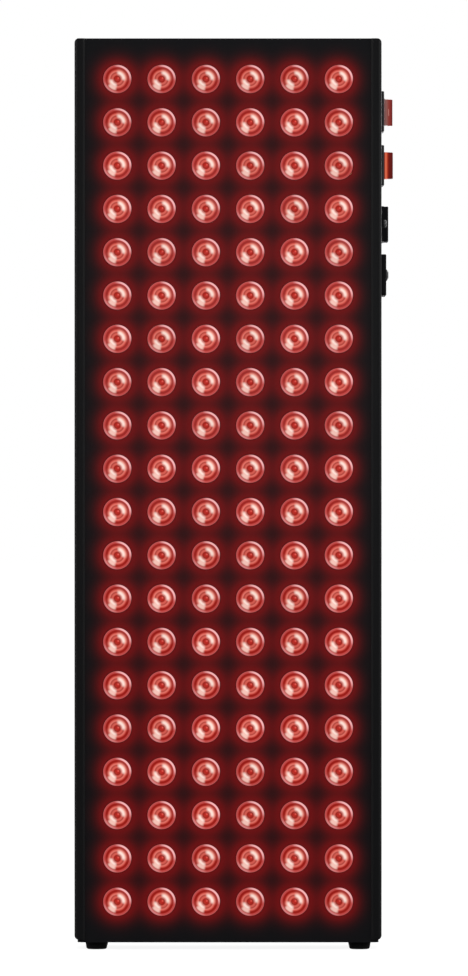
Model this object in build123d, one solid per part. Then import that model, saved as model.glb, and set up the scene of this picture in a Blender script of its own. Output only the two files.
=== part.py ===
from build123d import *
import math
import os

# Red light therapy panel: a tall flat case on rubber feet, with a grid of lit round lenses
# on its front. Millimetres. X runs to the right seen from the front, Y runs to the back and
# Z runs up. The origin is on the floor, under the middle of the case.

# Case
case_width = 210.0
case_height = 618.0
case_depth = 64.0
sheet = 1.2
bend_radius = 1.0
front_return = 8.0
play = 0.3
screw_play = 0.1
cut_overrun = 1.0

# Side rails, extruded, with a lip that laps over the front plate
rail_wall = 1.8
rail_lip_width = 7.2
rail_lip = 1.8
rail_lip_bevel = 1.4
rail_corner_radius = 3.0
rail_rear_bevel = 0.6
rail_setback = 1.9
rail_ledge = 1.8
rail_front_ledge_width = 7.2
rail_rear_ledge = 2.4
rail_rear_ledge_width = 12.0
rail_slot_play = 0.2

# Front plate
plate = 2.0
plate_corner_radius = 2.5

# Grid of lights
led_columns = 6
led_rows = 20
grid_side_margin = 29.25
grid_end_margin = 27.8
led_pitch_x = (case_width - 2 * grid_side_margin) / (led_columns - 1)
led_pitch_z = (case_height - 2 * grid_end_margin) / (led_rows - 1)
board_count = 4
boards_per_sink = 2

# Lens, measured outwards from its axis and forwards from the board it stands on
lens_radius = 9.75
lens_play = 0.3
lens_proud = 0.6
lens_rim_width = 1.5
lens_rim_round = 0.6
lens_groove = 0.6
lens_dome_radius = 5.9
lens_dome_rise = 0.9
lens_well_radius = 2.3
lens_well_depth = 0.5
lens_button_rise = 0.35
lens_seat_radius = 8.0
lens_cone_bulge = 0.7
lens_tip_radius = 3.3
lens_tip_height = 1.9
lens_pocket_radius = 2.4
lens_pocket_depth = 2.6
lens_pocket_dome = 0.8
holder_radius = 8.9
holder_wall = 0.8
board_gap = 8.8

# Light emitters and their boards
emitter_side = 3.5
emitter_base = 0.8
emitter_dome_radius = 1.4
emitter_dome_rise = 1.1
board = 1.6
board_side_margin = 6.5
board_joint_gap = 0.6
board_corner_radius = 2.0
board_hole_column = 2.0
board_hole_row = 1.5

# Heat sinks
sink_base = 3.0
sink_fan_gap = 4.6
sink_fin = 1.6
sink_joint_gap = 1.0

# Standoffs between the front plate and the boards, and the screws into them
standoff_flats = 5.5
standoff_hole_depth = 7.0
m3_radius = 1.5
m3_head_radius = 2.75
m3_head = 1.8
m3_head_round = 0.7
m3_nut_flats = 5.5
m3_nut = 2.4
sink_screw_length = 10.0
sink_head_gap = 0.4
sink_fins_per_pitch = int(led_pitch_x // (2 * m3_head_radius + sink_head_gap + sink_fin))
sink_fins_each_side = int(board_hole_column * sink_fins_per_pitch) + 1

# Rear cover screws
case_screws_each_side = 5
case_screw_inset = 7.0
case_screw_end_margin = 22.0
case_screw_length = 5.0

# Cooling fans, finger guards and their screws
fan_count = 3
fan_end_margin = 114.0
fan_spacing = (case_height - 2 * fan_end_margin) / (fan_count - 1)
fan_side = 80.0
fan_depth = 25.0
fan_corner_radius = 3.5
fan_flange = 3.6
fan_rim = 2.0
fan_bore_radius = fan_side / 2 - fan_rim
fan_duct_wall = 1.5
fan_hole_inset = 4.25
fan_hole_spacing = fan_side - 2 * fan_hole_inset
fan_screw_radius = 2.0
fan_hole_radius = 2.2
fan_base_radius = 16.0
fan_base = 2.6
fan_strut_width = 4.0
fan_strut_count = 4
fan_bearing_radius = 4.0
fan_bearing_height = 13.0
fan_shaft_radius = 1.5
fan_shaft_play = 0.06
fan_hub_radius = 17.0
fan_hub_wall = 1.6
fan_hub_height = 17.0
fan_hub_round = 2.0
fan_hub_setback = 2.0
fan_blades = 7
fan_blade = 1.5
fan_blade_pitch = 38.0
fan_blade_tip_gap = 1.2
fan_blade_width = 17.0
fan_stator_radius = 12.5
fan_stator_height = 8.0
fan_stator_slot = 3.0
fan_stator_slots = 4
fan_opening_play = 0.6
fan_opening_radius = fan_bore_radius + fan_opening_play
guard_wire = 1.8
guard_rings = 5
guard_ring_step = fan_bore_radius / guard_rings
guard_eye_radius = 3.4
guard_weld = 0.4
fan_screw_head_radius = 3.6
fan_screw_head = 2.2
fan_screw_length = 9.0

# LED drivers, terminal block and earth stud
driver_depth = 22.0
driver_edge_radius = 1.5
driver_foot = 1.5
driver_foot_length = 9.0
driver_gap = 8.0
driver_fan_gap = 9.5
driver_block_gap = 4.0
driver_screw_length = 7.0
block_length = 52.0
block_width = 18.0
block_depth = 14.0
block_poles = 6
block_well_radius = 2.8
block_well_depth = 7.0
block_side_inset = 33.0
block_drop = 59.5
earth_stud_radius = 2.0
earth_stud_length = 14.0
earth_nut_flats = 7.0
earth_nut = 3.2
earth_stud_drop = 25.0

# Vents in the top and bottom walls
vent_width = 3.4
vent_length = 30.0
vent_side_margin = 51.0
vent_count = 13
vent_pitch = (case_width - 2 * vent_side_margin) / (vent_count - 1)

# Threaded inserts for hanging and for a wall bracket
insert_thread_radius = 2.5
insert_radius = 4.5
insert_flange_radius = 6.5
insert_flange = 1.0
insert_length = 11.0
top_insert_inset = 21.0
wall_insert_side_inset = 25.0
wall_insert_end_inset = 59.0
top_insert_spacing = case_width - 2 * top_insert_inset
wall_insert_spacing_x = case_width - 2 * wall_insert_side_inset
wall_insert_spacing_z = case_height - 2 * wall_insert_end_inset

# Rubber feet
foot_height = 5.0
foot_radius = 7.75
foot_taper = 0.9
foot_edge_radius = 1.6
foot_side_inset = 15.0
foot_end_inset = 13.0
foot_recess_radius = 4.4
foot_recess_depth = 2.9
foot_screw_radius = 2.0
foot_screw_head_radius = 3.7
foot_screw_head = 2.3
foot_screw_length = 7.4
foot_nut_flats = 7.0
foot_nut = 3.2

# Everything on the right side lies on one line up the middle of the rail, each unit a step
# below the one above it
side_line = 1.0
upper_switch_drop = 49.2
lower_switch_step = 37.0
inlet_step = 40.3
outlet_step = 35.0

# Rocker switches
bezel_length = 33.0
bezel_height = 27.7
bezel = 2.0
bezel_corner_radius = 1.5
bezel_edge_radius = 0.6
switch_body_length = 29.9
switch_body_height = 21.8
switch_body_depth = 16.0
switch_wall = 1.3
switch_floor = 2.5
switch_cutout_play = 0.15
rocker_swing = 16.0
rocker_half_length = 10.5
rocker_height = 18.2
rocker_side_play = 0.3
rocker_pivot_depth = 4.5
rocker_flush = 0.5
rocker_skirt_angle = 3.0
rocker_hub_radius = 3.0
rocker_edge_radius = 0.5
rocker_neck_share = 1.6
rocker_foot_share = 0.8
pivot_pin_radius = 1.5
pivot_pin_play = 0.08
pivot_pin_length = 1.0
switch_tab_width = 6.3
switch_tab = 0.8
switch_tab_length = 8.0
switch_tab_spacing_y = 14.0
switch_tab_spacing_z = 10.0
tab_root = 1.5

# Mains inlet
inlet_flange_length = 48.0
inlet_flange_height = 24.0
inlet_flange = 1.6
inlet_front_length = 31.0
inlet_front = 4.8
inlet_edge_radius = 0.5
inlet_body_length = 27.5
inlet_body_height = 19.8
inlet_body_depth = 14.0
inlet_cavity_length = 24.4
inlet_cavity_height = 16.4
inlet_cavity_corner = 4.0
inlet_floor = 2.0
inlet_screw_spacing = 40.0
inlet_screw_length = 9.0
mains_pin_spacing = 14.0
mains_pin_offset = 2.0
mains_pin = 2.0
mains_pin_height = 4.0
mains_pin_tip_depth = 5.2
mains_tab_length = 8.0

# Mains outlet
outlet_flange_length = 50.0
outlet_flange_height = 28.3
outlet_flange = 3.3
outlet_edge_radius = 0.6
outlet_corner_radius = 2.0
outlet_body_length = 33.0
outlet_body_height = 25.0
outlet_body_depth = 16.0
outlet_groove_length = 30.4
outlet_groove_height = 22.4
outlet_core_length = 23.8
outlet_core_height = 15.8
outlet_core_corner = 3.6
outlet_groove_depth = 15.0
outlet_slot = 2.6
outlet_slot_height = 4.8
outlet_slot_depth = 16.0
outlet_contact = 0.6
outlet_contact_setback = 4.0
outlet_screw_spacing = 40.0
outlet_screw_radius = 1.75
outlet_screw_head_radius = 3.9
outlet_screw_head = 1.5
outlet_screw_length = 9.0
outlet_nut_flats = 6.0

# Places worked out from the sizes above
case_bottom = foot_height
case_top = foot_height + case_height
case_middle = foot_height + case_height / 2
upper_switch_height = case_top - upper_switch_drop
lower_switch_height = upper_switch_height - lower_switch_step
inlet_height = lower_switch_height - inlet_step
outlet_height = inlet_height - outlet_step
front = -case_depth / 2
back = case_depth / 2
side = case_width / 2
rail_inner = side - rail_wall
cover_half_width = rail_inner - play
plate_front = front + rail_lip
plate_back = plate_front + plate
board_front = plate_back + board_gap
board_back = board_front + board
sink_back = board_back + sink_base
sheet_inner = back - sheet
sink_fin_height = sheet_inner - fan_depth - sink_fan_gap - sink_back
lowest_row = case_middle - (led_rows - 1) * led_pitch_z / 2
rows_per_board = led_rows // board_count
board_pitch = rows_per_board * led_pitch_z
sink_count = board_count // boards_per_sink
bezel_face = side + bezel
pivot_x = bezel_face - rocker_pivot_depth
block_x = side - block_side_inset
block_top = outlet_height - block_drop
driver_length = 2 * (block_x - block_width / 2 - driver_block_gap - driver_foot_length)
driver_height = (fan_spacing - fan_side - driver_gap - 2 * driver_fan_gap) / 2
ledge_bottom = case_bottom + sheet + bend_radius + play
ledge_top = case_top - sheet - bend_radius - play
fan_heights = [case_middle + (n - (fan_count - 1) / 2) * fan_spacing for n in range(fan_count)]
board_heights = [case_middle + (n - (board_count - 1) / 2) * board_pitch for n in range(board_count)]
sink_heights = [
    case_middle + (n - (sink_count - 1) / 2) * boards_per_sink * board_pitch for n in range(sink_count)
]
column_places = [(n - (led_columns - 1) / 2) * led_pitch_x for n in range(led_columns)]


def through_height(outline, low, high):
    """Solid of an (x, y) outline between two heights."""
    return extrude(Plane.XY.offset(low) * outline, high - low)


def through_depth(outline, near, far):
    """Solid of an (x, z) outline between two depths, near being the one nearer the front."""
    plane = Plane(origin=(0, far, 0), x_dir=(1, 0, 0), z_dir=(0, -1, 0))
    return extrude(plane * outline, far - near)


def through_side(outline, inner, outer):
    """Solid of a (y, z) outline between two distances to the right."""
    plane = Plane(origin=(inner, 0, 0), x_dir=(0, 1, 0), z_dir=(1, 0, 0))
    return extrude(plane * outline, outer - inner)


def block(x, y, z):
    """Box between the (low, high) limits along each axis."""
    sizes = [limits[1] - limits[0] for limits in (x, y, z)]
    middles = [(limits[0] + limits[1]) / 2 for limits in (x, y, z)]
    return Pos(*middles) * Box(*sizes)


def span(middle, size):
    """(low, high) limits of a size about its middle."""
    return (middle - size / 2, middle + size / 2)


def area(x, y):
    """Rectangle between (low, high) limits."""
    sizes = [limits[1] - limits[0] for limits in (x, y)]
    middles = [(limits[0] + limits[1]) / 2 for limits in (x, y)]
    return Pos(*middles) * Rectangle(*sizes)


def hexagon(flats):
    """Hexagon by its size across flats."""
    return RegularPolygon(flats / 2, 6, major_radius=False)


def copies(shape, places):
    """One compound holding a copy of the shape's solids at each (x, y, z) place."""
    return Compound([s.moved(Location(p)) for p in places for s in shape.solids()])


def pan_head(radius, height, rounding):
    """Screw head on the XY plane, rising along +Z, with a rounded rim."""
    head = extrude(Circle(radius), height)
    return fillet(head.edges().sort_by(Axis.Z)[-1], rounding)


def screw(head_radius, head, shank_radius, shank_length, rounding):
    """Screw with its head on the XY plane, rising along +Z, and its shank below."""
    shank = extrude(Circle(shank_radius), -shank_length)
    return pan_head(head_radius, head, rounding) + shank


def facing_back(shape):
    """Turns a shape built along +Z to point backwards along +Y."""
    return Rot(-90, 0, 0) * shape


def facing_right(shape):
    """Turns a shape built along +Z to point to the right along +X."""
    return Rot(0, 90, 0) * shape


def facing_down(shape):
    """Turns a shape built along +Z to point downwards."""
    return Rot(180, 0, 0) * shape


def rows_of_board(n):
    """Heights of the light rows on one board."""
    first = lowest_row + n * board_pitch
    return [first + row * led_pitch_z for row in range(rows_per_board)]


def light_places(n, y):
    """Places of the lights on one board, at the given depth."""
    return [(x, y, z) for z in rows_of_board(n) for x in column_places]


def board_holes(n):
    """(x, z) of the fixing holes on one board, each midway between four lights."""
    xs = (-board_hole_column * led_pitch_x, board_hole_column * led_pitch_x)
    zs = (-board_hole_row * led_pitch_z, board_hole_row * led_pitch_z)
    return [(x, board_heights[n] + z) for x in xs for z in zs]


def all_board_holes():
    """(x, z) of every board's fixing holes."""
    return [hole for n in range(board_count) for hole in board_holes(n)]


def fan_corners(height):
    """(x, z) of one fan's four fixing holes."""
    reach = fan_hole_spacing / 2
    return [(x, height + z) for x in (-reach, reach) for z in (-reach, reach)]


def driver_middles():
    """Heights of the drivers, two in each gap between fans."""
    gaps = [(low + high) / 2 for low, high in zip(fan_heights, fan_heights[1:])]
    reach = (driver_height + driver_gap) / 2
    return [gap + offset for gap in gaps for offset in (-reach, reach)]


def driver_holes():
    """(x, z) of the drivers' fixing screws."""
    reach = driver_length / 2 + driver_foot_length / 2
    return [(x, z) for z in driver_middles() for x in (-reach, reach)]


def case_screw_places():
    """(x, z) of the screws that hold the rear cover to the rails."""
    low = case_bottom + case_screw_end_margin
    step = (case_height - 2 * case_screw_end_margin) / (case_screws_each_side - 1)
    xs = (case_screw_inset - side, side - case_screw_inset)
    return [(x, low + n * step) for x in xs for n in range(case_screws_each_side)]


def wall_insert_places():
    """(x, z) of the wall bracket inserts."""
    xs = (-wall_insert_spacing_x / 2, wall_insert_spacing_x / 2)
    zs = (-wall_insert_spacing_z / 2, wall_insert_spacing_z / 2)
    return [(x, case_middle + z) for x in xs for z in zs]


def foot_places():
    """(x, y) of the four feet."""
    x = side - foot_side_inset
    y = back - foot_end_inset
    return [(sx * x, sy * y) for sx in (-1, 1) for sy in (-1, 1)]


def earth_stud_place():
    """(x, z) of the earth stud, below the terminal block."""
    return (block_x, block_top - block_length - earth_stud_drop)


def side_rail():
    """Right rail: outer wall, front lip, and the two ledges inside it."""
    lip_inner = side - rail_lip_width
    profile = area((lip_inner, side), (front, plate_front)) + area((rail_inner, side), (front, back))
    outer = profile.vertices().filter_by(lambda v: abs(v.X - side) < play).sort_by(Axis.Y)
    profile = fillet(outer[0], rail_corner_radius)
    outer = profile.vertices().filter_by(lambda v: abs(v.X - side) < play).sort_by(Axis.Y)
    profile = chamfer(outer[-1], rail_rear_bevel)
    nose = profile.vertices().sort_by(Axis.Y).filter_by(lambda v: abs(v.Y - front) < play).sort_by(Axis.X)
    profile = chamfer(nose[0], rail_lip_bevel)
    rail = through_height(profile, case_bottom + rail_setback, case_top)
    slot_back = plate_back + rail_slot_play
    in_wall = side - rail_wall / 2
    front_ledge = (side - rail_front_ledge_width, in_wall), (slot_back, slot_back + rail_ledge)
    rear_ledge = (side - rail_rear_ledge_width, in_wall), (sheet_inner - rail_rear_ledge, sheet_inner)
    rail += [block(*ledge, (ledge_bottom, ledge_top)) for ledge in (front_ledge, rear_ledge)]
    height = case_height - rail_setback
    ends = RectangleRounded(case_width, height, rail_corner_radius)
    ends = Pos(0, case_top - height / 2) * ends
    rail = rail & through_depth(ends, front - cut_overrun, back + cut_overrun)
    holes = [Pos(x, z) * Circle(m3_radius + screw_play) for x, z in case_screw_places() if x > 0]
    rail -= [through_depth(h, sheet_inner - rail_rear_ledge - cut_overrun, back) for h in holes]
    return rail


def cut_side_openings(rail):
    """Cuts the switch, inlet and outlet openings through the right rail's wall."""
    near = rail_inner - cut_overrun
    far = side + cut_overrun
    grown = 2 * switch_cutout_play
    for height in (upper_switch_height, lower_switch_height):
        opening = Rectangle(switch_body_length + grown, switch_body_height + grown)
        rail -= through_side(Pos(side_line, height) * opening, near, far)
    opening = Rectangle(inlet_body_length + grown, inlet_body_height + grown)
    rail -= through_side(Pos(side_line, inlet_height) * opening, near, far)
    opening = Rectangle(outlet_body_length + grown, outlet_body_height + grown)
    rail -= through_side(Pos(side_line, outlet_height) * opening, near, far)
    for y in span(side_line, inlet_screw_spacing):
        hole = Pos(y, inlet_height) * Circle(m3_radius + screw_play)
        rail -= through_side(hole, near, far)
    for y in span(side_line, outlet_screw_spacing):
        hole = Pos(y, outlet_height) * Circle(outlet_screw_radius + screw_play)
        rail -= through_side(hole, near, far)
    return rail


def front_plate():
    """Flat plate held in the rails' slots, with a round hole for each lens."""
    outline = RectangleRounded(2 * cover_half_width, case_height, plate_corner_radius)
    hole = Circle(lens_radius + lens_play)
    grid = [
        Pos(x, z - case_middle) * hole
        for n in range(board_count)
        for x, _, z in light_places(n, 0)
    ]
    outline = Pos(0, case_middle) * (outline - grid)
    return through_depth(outline, plate_front, plate_back)


def vent_slots(low, high):
    """Row of vent slots cut through a wall between two heights."""
    slot = SlotOverall(vent_length, vent_width, rotation=90)
    xs = [(n - (vent_count - 1) / 2) * vent_pitch for n in range(vent_count)]
    return [through_height(Pos(x, 0) * slot, low, high) for x in xs]


def rear_cover():
    """Folded sheet: the back, the top and bottom walls, and a short return behind the plate."""
    outer = area((plate_back, back), (case_bottom, case_top))
    outer = fillet(outer.vertices().sort_by(Axis.X)[-2:], bend_radius + sheet)
    inner = area((plate_back + sheet, sheet_inner), (case_bottom + sheet, case_top - sheet))
    inner = fillet(inner.vertices(), bend_radius)
    mouth = area(
        (plate_back - cut_overrun, plate_back + sheet + bend_radius),
        (case_bottom + front_return, case_top - front_return),
    )
    cover = through_side(outer - inner - mouth, -cover_half_width, cover_half_width)
    notch_depth = (plate_back - cut_overrun, plate_back + rail_slot_play + rail_ledge + play)
    notch_height = (case_bottom + sheet + cut_overrun, case_top - sheet - cut_overrun)
    notch_width = (side - rail_front_ledge_width - play, side)
    notch = block(notch_width, notch_depth, notch_height)
    cover -= notch
    cover -= mirror(notch, Plane.YZ)
    through_back = (sheet_inner - cut_overrun, back + cut_overrun)
    for height in fan_heights:
        cover -= through_depth(Pos(0, height) * Circle(fan_opening_radius), *through_back)
        for x, z in fan_corners(height):
            cover -= through_depth(Pos(x, z) * Circle(fan_screw_radius + screw_play), *through_back)
    for x, z in case_screw_places() + driver_holes():
        cover -= through_depth(Pos(x, z) * Circle(m3_radius + screw_play), *through_back)
    for x, z in wall_insert_places():
        cover -= through_depth(Pos(x, z) * Circle(insert_radius + screw_play), *through_back)
    x, z = earth_stud_place()
    cover -= through_depth(Pos(x, z) * Circle(earth_stud_radius + screw_play), *through_back)
    through_top = (case_top - sheet - cut_overrun, case_top + cut_overrun)
    through_bottom = (case_bottom - cut_overrun, case_bottom + sheet + cut_overrun)
    cover -= vent_slots(*through_top)
    cover -= vent_slots(*through_bottom)
    for x in span(0, top_insert_spacing):
        cover -= through_height(Pos(x, 0) * Circle(insert_radius + screw_play), *through_top)
    for x, y in foot_places():
        cover -= through_height(Pos(x, y) * Circle(foot_screw_radius + screw_play), *through_bottom)
    return cover


def cap_middle(radius, rise):
    """(x, y) halfway along a round cap's outline, measured from its rim plane and its axis."""
    ball = (radius**2 + rise**2) / (2 * rise)
    return radius / 2, rise - ball + math.sqrt(ball**2 - (radius / 2) ** 2)


def lens():
    """Moulded lens about the Y axis, standing on y = 0 and facing the front."""
    face = board_gap + plate + lens_proud
    rim_inner = lens_radius - lens_rim_width
    floor = face - lens_rim_round - lens_groove
    seat = board_gap
    rim_top = face - lens_rim_round
    well_top = floor + lens_dome_rise
    well_floor = well_top - lens_well_depth
    well_edge = lens_well_radius + lens_button_rise
    pocket_roof = lens_tip_height + lens_pocket_depth
    button_x, button_rise = cap_middle(lens_well_radius, lens_button_rise)
    roof_x, roof_rise = cap_middle(lens_pocket_radius, lens_pocket_dome)
    dome_middle = ((lens_dome_radius + well_edge) / 2, floor + lens_dome_rise)
    cone_middle = (
        (lens_tip_radius + lens_seat_radius) / 2 + lens_cone_bulge,
        (lens_tip_height + seat) / 2 - lens_cone_bulge,
    )
    outline = [
        Polyline((lens_seat_radius, seat), (lens_radius, seat), (lens_radius, rim_top)),
        ThreePointArc((lens_radius, rim_top), ((lens_radius + rim_inner) / 2, face), (rim_inner, rim_top)),
        Polyline((rim_inner, rim_top), (rim_inner, floor), (lens_dome_radius, floor)),
        ThreePointArc((lens_dome_radius, floor), dome_middle, (well_edge, well_top - lens_button_rise)),
        Polyline((well_edge, well_top - lens_button_rise), (lens_well_radius, well_floor)),
        ThreePointArc(
            (lens_well_radius, well_floor),
            (button_x, well_floor + button_rise),
            (0, well_floor + lens_button_rise),
        ),
        Line((0, well_floor + lens_button_rise), (0, pocket_roof + lens_pocket_dome)),
        ThreePointArc(
            (0, pocket_roof + lens_pocket_dome),
            (roof_x, pocket_roof + roof_rise),
            (lens_pocket_radius, pocket_roof),
        ),
        Polyline(
            (lens_pocket_radius, pocket_roof),
            (lens_pocket_radius, lens_tip_height),
            (lens_tip_radius, lens_tip_height),
        ),
        ThreePointArc((lens_tip_radius, lens_tip_height), cone_middle, (lens_seat_radius, seat)),
    ]
    profile = make_face(outline)
    return Rot(180, 0, 0) * revolve(profile, Axis.Y)


def lens_holder():
    """Plain ring that stands on the board and carries the lens by its flange."""
    ring = Circle(holder_radius) - Circle(holder_radius - holder_wall)
    return through_depth(ring, -board_gap, 0)


def emitter():
    """Light emitter on its ceramic base, facing the front from y = 0."""
    base = through_depth(Rectangle(emitter_side, emitter_side), -emitter_base, 0)
    dome_radius = (emitter_dome_radius**2 + emitter_dome_rise**2) / (2 * emitter_dome_rise)
    ball = Pos(0, dome_radius - emitter_base - emitter_dome_rise, 0) * Sphere(dome_radius)
    reach = 2 * dome_radius
    front_half = block((-reach, reach), (-reach - emitter_base, -emitter_base), (-reach, reach))
    return base + (ball & front_half)


def led_board(n):
    """One board with its fixing holes."""
    width = (led_columns - 1) * led_pitch_x + 2 * board_side_margin
    outline = RectangleRounded(width, board_pitch - board_joint_gap, board_corner_radius)
    outline = Pos(0, board_heights[n]) * outline
    outline -= [Pos(x, z) * Circle(m3_radius + screw_play) for x, z in board_holes(n)]
    return through_depth(outline, board_front, board_back)


def heat_sink(n):
    """Finned sink behind a pair of boards; the screw heads lie between its fins."""
    width = (led_columns - 1) * led_pitch_x + 2 * board_side_margin
    height = boards_per_sink * board_pitch - sink_joint_gap
    limits = span(sink_heights[n], height)
    sink = block(span(0, width), (board_back, sink_back), limits)
    step = led_pitch_x / sink_fins_per_pitch
    for i in range(-sink_fins_each_side, sink_fins_each_side):
        sink += block(span((i + 1 / 2) * step, sink_fin), (sink_back, sink_back + sink_fin_height), limits)
    holes = [hole for hole in all_board_holes() if limits[0] < hole[1] < limits[1]]
    for x, z in holes:
        hole = Pos(x, z) * Circle(m3_radius + screw_play)
        sink -= through_depth(hole, board_back - cut_overrun, sink_back + cut_overrun)
    return sink


def standoffs():
    """Hexagonal spacers welded to the plate, one at each board hole."""
    spacer = extrude(hexagon(standoff_flats), board_gap)
    bore = extrude(Circle(m3_radius + screw_play), standoff_hole_depth)
    spacer -= Pos(0, 0, board_gap - standoff_hole_depth) * bore
    return copies(facing_back(spacer), [(x, plate_back, z) for x, z in all_board_holes()])


def sink_screws():
    """Screws through the sinks and boards into the standoffs."""
    one = facing_back(screw(m3_head_radius, m3_head, m3_radius, sink_screw_length, m3_head_round))
    return copies(one, [(x, sink_back, z) for x, z in all_board_holes()])


def case_screws():
    """Screws through the rear cover into the rails."""
    one = facing_back(screw(m3_head_radius, m3_head, m3_radius, case_screw_length, m3_head_round))
    return copies(one, [(x, back, z) for x, z in case_screw_places()])


def fan_frame(height):
    """Fan frame: two square flanges, the duct between them, and the motor base on its struts."""
    near = sheet_inner - fan_depth
    square = RectangleRounded(fan_side, fan_side, fan_corner_radius)
    square -= Circle(fan_bore_radius)
    reach = fan_hole_spacing / 2
    square -= [Pos(x, z) * Circle(fan_hole_radius) for x in (-reach, reach) for z in (-reach, reach)]
    square = Pos(0, height) * square
    frame = through_depth(square, sheet_inner - fan_flange, sheet_inner)
    frame += through_depth(square, near, near + fan_flange)
    duct = Circle(fan_bore_radius + fan_duct_wall) - Circle(fan_bore_radius)
    frame += through_depth(Pos(0, height) * duct, near, sheet_inner)
    strut = Rectangle(fan_strut_width, 2 * (fan_bore_radius + fan_duct_wall / 2))
    spider = Circle(fan_base_radius)
    for n in range(fan_strut_count // 2):
        spider += Rot(0, 0, 45 + n * 360 / fan_strut_count) * strut
    frame += through_depth(Pos(0, height) * spider, near, near + fan_base)
    bearing = Pos(0, height) * Circle(fan_bearing_radius)
    frame += through_depth(bearing, near, near + fan_base + fan_bearing_height)
    bore = Pos(0, height) * Circle(fan_shaft_radius + fan_shaft_play)
    frame -= through_depth(bore, near + fan_base / 2, near + fan_depth)
    return frame


def fan_stators():
    """Motor windings, one ring with slots round each fan's bearing."""
    ring = Circle(fan_stator_radius) - Circle(fan_bearing_radius)
    slot = area((fan_bearing_radius * 2, fan_stator_radius * 2), span(0, fan_stator_slot))
    ring -= [Rot(0, 0, n * 360 / fan_stator_slots) * slot for n in range(fan_stator_slots)]
    near = sheet_inner - fan_depth + fan_base
    one = through_depth(ring, near, near + fan_stator_height)
    return copies(one, [(0, 0, height) for height in fan_heights])


def fan_rotor(height):
    """Hub cup on its shaft, with pitched blades round it."""
    hub_back = sheet_inner - fan_hub_setback
    hub_near = hub_back - fan_hub_height
    cup = facing_back(Pos(0, 0, hub_near) * extrude(Circle(fan_hub_radius), fan_hub_height))
    cup = fillet(cup.edges().sort_by(Axis.Y)[-1], fan_hub_round)
    cup -= through_depth(Circle(fan_hub_radius - fan_hub_wall), hub_near, hub_back - fan_hub_wall)
    shaft_near = sheet_inner - fan_depth + fan_base
    cup += through_depth(Circle(fan_shaft_radius), shaft_near, hub_back - fan_hub_wall)
    tip = fan_bore_radius - fan_blade_tip_gap
    root = fan_hub_radius - fan_hub_wall / 2
    middle = (hub_near + hub_back) / 2
    ring = Circle(tip) - Circle(root)
    ring = through_depth(ring, middle - fan_blade_width / 2, middle + fan_blade_width / 2)
    paddle = Box(tip, 2 * fan_blade_width, fan_blade)
    paddle = Pos(root + tip / 2, middle, 0) * Rot(fan_blade_pitch, 0, 0) * paddle
    blade = paddle & ring
    for n in range(fan_blades):
        cup += Rot(0, n * 360 / fan_blades, 0) * blade
    return Pos(0, 0, height) * cup


def fan_guard(height):
    """Wire finger guard: rings welded to two crossed wires that end in screw eyes."""
    wire = guard_wire / 2
    spoke_y = back + wire
    ring_y = spoke_y + guard_wire - guard_weld
    reach = math.hypot(fan_hole_spacing, fan_hole_spacing) / 2
    length = 2 * (reach - guard_eye_radius)
    spoke = Rot(0, 90, 0) * Pos(0, 0, -length / 2) * extrude(Circle(wire), length)
    guard = None
    for angle in (45, 135):
        bar = Pos(0, spoke_y, 0) * Rot(0, angle, 0) * spoke
        guard = bar if guard is None else guard + bar
    for n in range(guard_rings):
        ring = facing_back(Torus((n + 1) * guard_ring_step - guard_ring_step / 2, wire))
        guard += Pos(0, ring_y, 0) * ring
    eye = facing_back(Torus(guard_eye_radius, wire))
    for x, z in fan_corners(0):
        guard += Pos(x, spoke_y, z) * eye
    return Pos(0, 0, height) * guard


def fan_screws():
    """Screws through the guard eyes and the cover into the fan frames."""
    one = screw(fan_screw_head_radius, fan_screw_head, fan_screw_radius, fan_screw_length, m3_head_round)
    places = [(x, back + guard_wire, z) for height in fan_heights for x, z in fan_corners(height)]
    return copies(facing_back(one), places)


def led_driver(height):
    """Power supply for one board, on a foot plate that lies against the cover."""
    foot_back = sheet_inner
    foot_front = sheet_inner - driver_foot
    foot_outline = Rectangle(driver_length + 2 * driver_foot_length, driver_height)
    foot_outline = Pos(0, height) * foot_outline
    foot_outline -= [Pos(x, z) * Circle(m3_radius + screw_play) for x, z in driver_holes()]
    depth = (foot_front - driver_depth, foot_front)
    body = block(span(0, driver_length), depth, span(height, driver_height))
    body = fillet(body.edges().filter_by(Axis.X), driver_edge_radius)
    return body + through_depth(foot_outline, foot_front, foot_back)


def driver_screws():
    """Screws and nuts that hold the drivers to the cover."""
    one = facing_back(screw(m3_head_radius, m3_head, m3_radius, driver_screw_length, m3_head_round))
    nut = hexagon(m3_nut_flats) - Circle(m3_radius + screw_play)
    nut_back = sheet_inner - driver_foot
    screws = copies(one, [(x, back, z) for x, z in driver_holes()])
    nut = through_depth(nut, nut_back - m3_nut, nut_back)
    nuts = copies(nut, [(x, 0, z) for x, z in driver_holes()])
    return Compound([*screws.solids(), *nuts.solids()])


def terminal_block():
    """Screw terminal block against the cover, with a well for each pole."""
    near = sheet_inner - block_depth
    limits = (block_top - block_length, block_top)
    body = block(span(block_x, block_width), (near, sheet_inner), limits)
    step = block_length / block_poles
    for n in range(block_poles):
        well = Pos(block_x, block_top - (n + 1 / 2) * step) * Circle(block_well_radius)
        body -= through_depth(well, near - cut_overrun, near + block_well_depth)
    return body


def earth_stud():
    """Threaded stud through the cover with a nut on each side."""
    x, z = earth_stud_place()
    far = back + earth_nut
    stud = through_depth(Pos(x, z) * Circle(earth_stud_radius), far - earth_stud_length, far)
    nut = hexagon(earth_nut_flats)
    stud += through_depth(Pos(x, z) * nut, back, far)
    stud += through_depth(Pos(x, z) * nut, sheet_inner - earth_nut, sheet_inner)
    return stud


def wall_inserts():
    """Flanged threaded inserts in the back, for a wall bracket."""
    barrel = Circle(insert_radius) - Circle(insert_thread_radius)
    collar = Circle(insert_flange_radius) - Circle(insert_thread_radius)
    one = through_depth(barrel, back - insert_length, back)
    one += through_depth(collar, back, back + insert_flange)
    return copies(one, [(x, 0, z) for x, z in wall_insert_places()])


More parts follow.
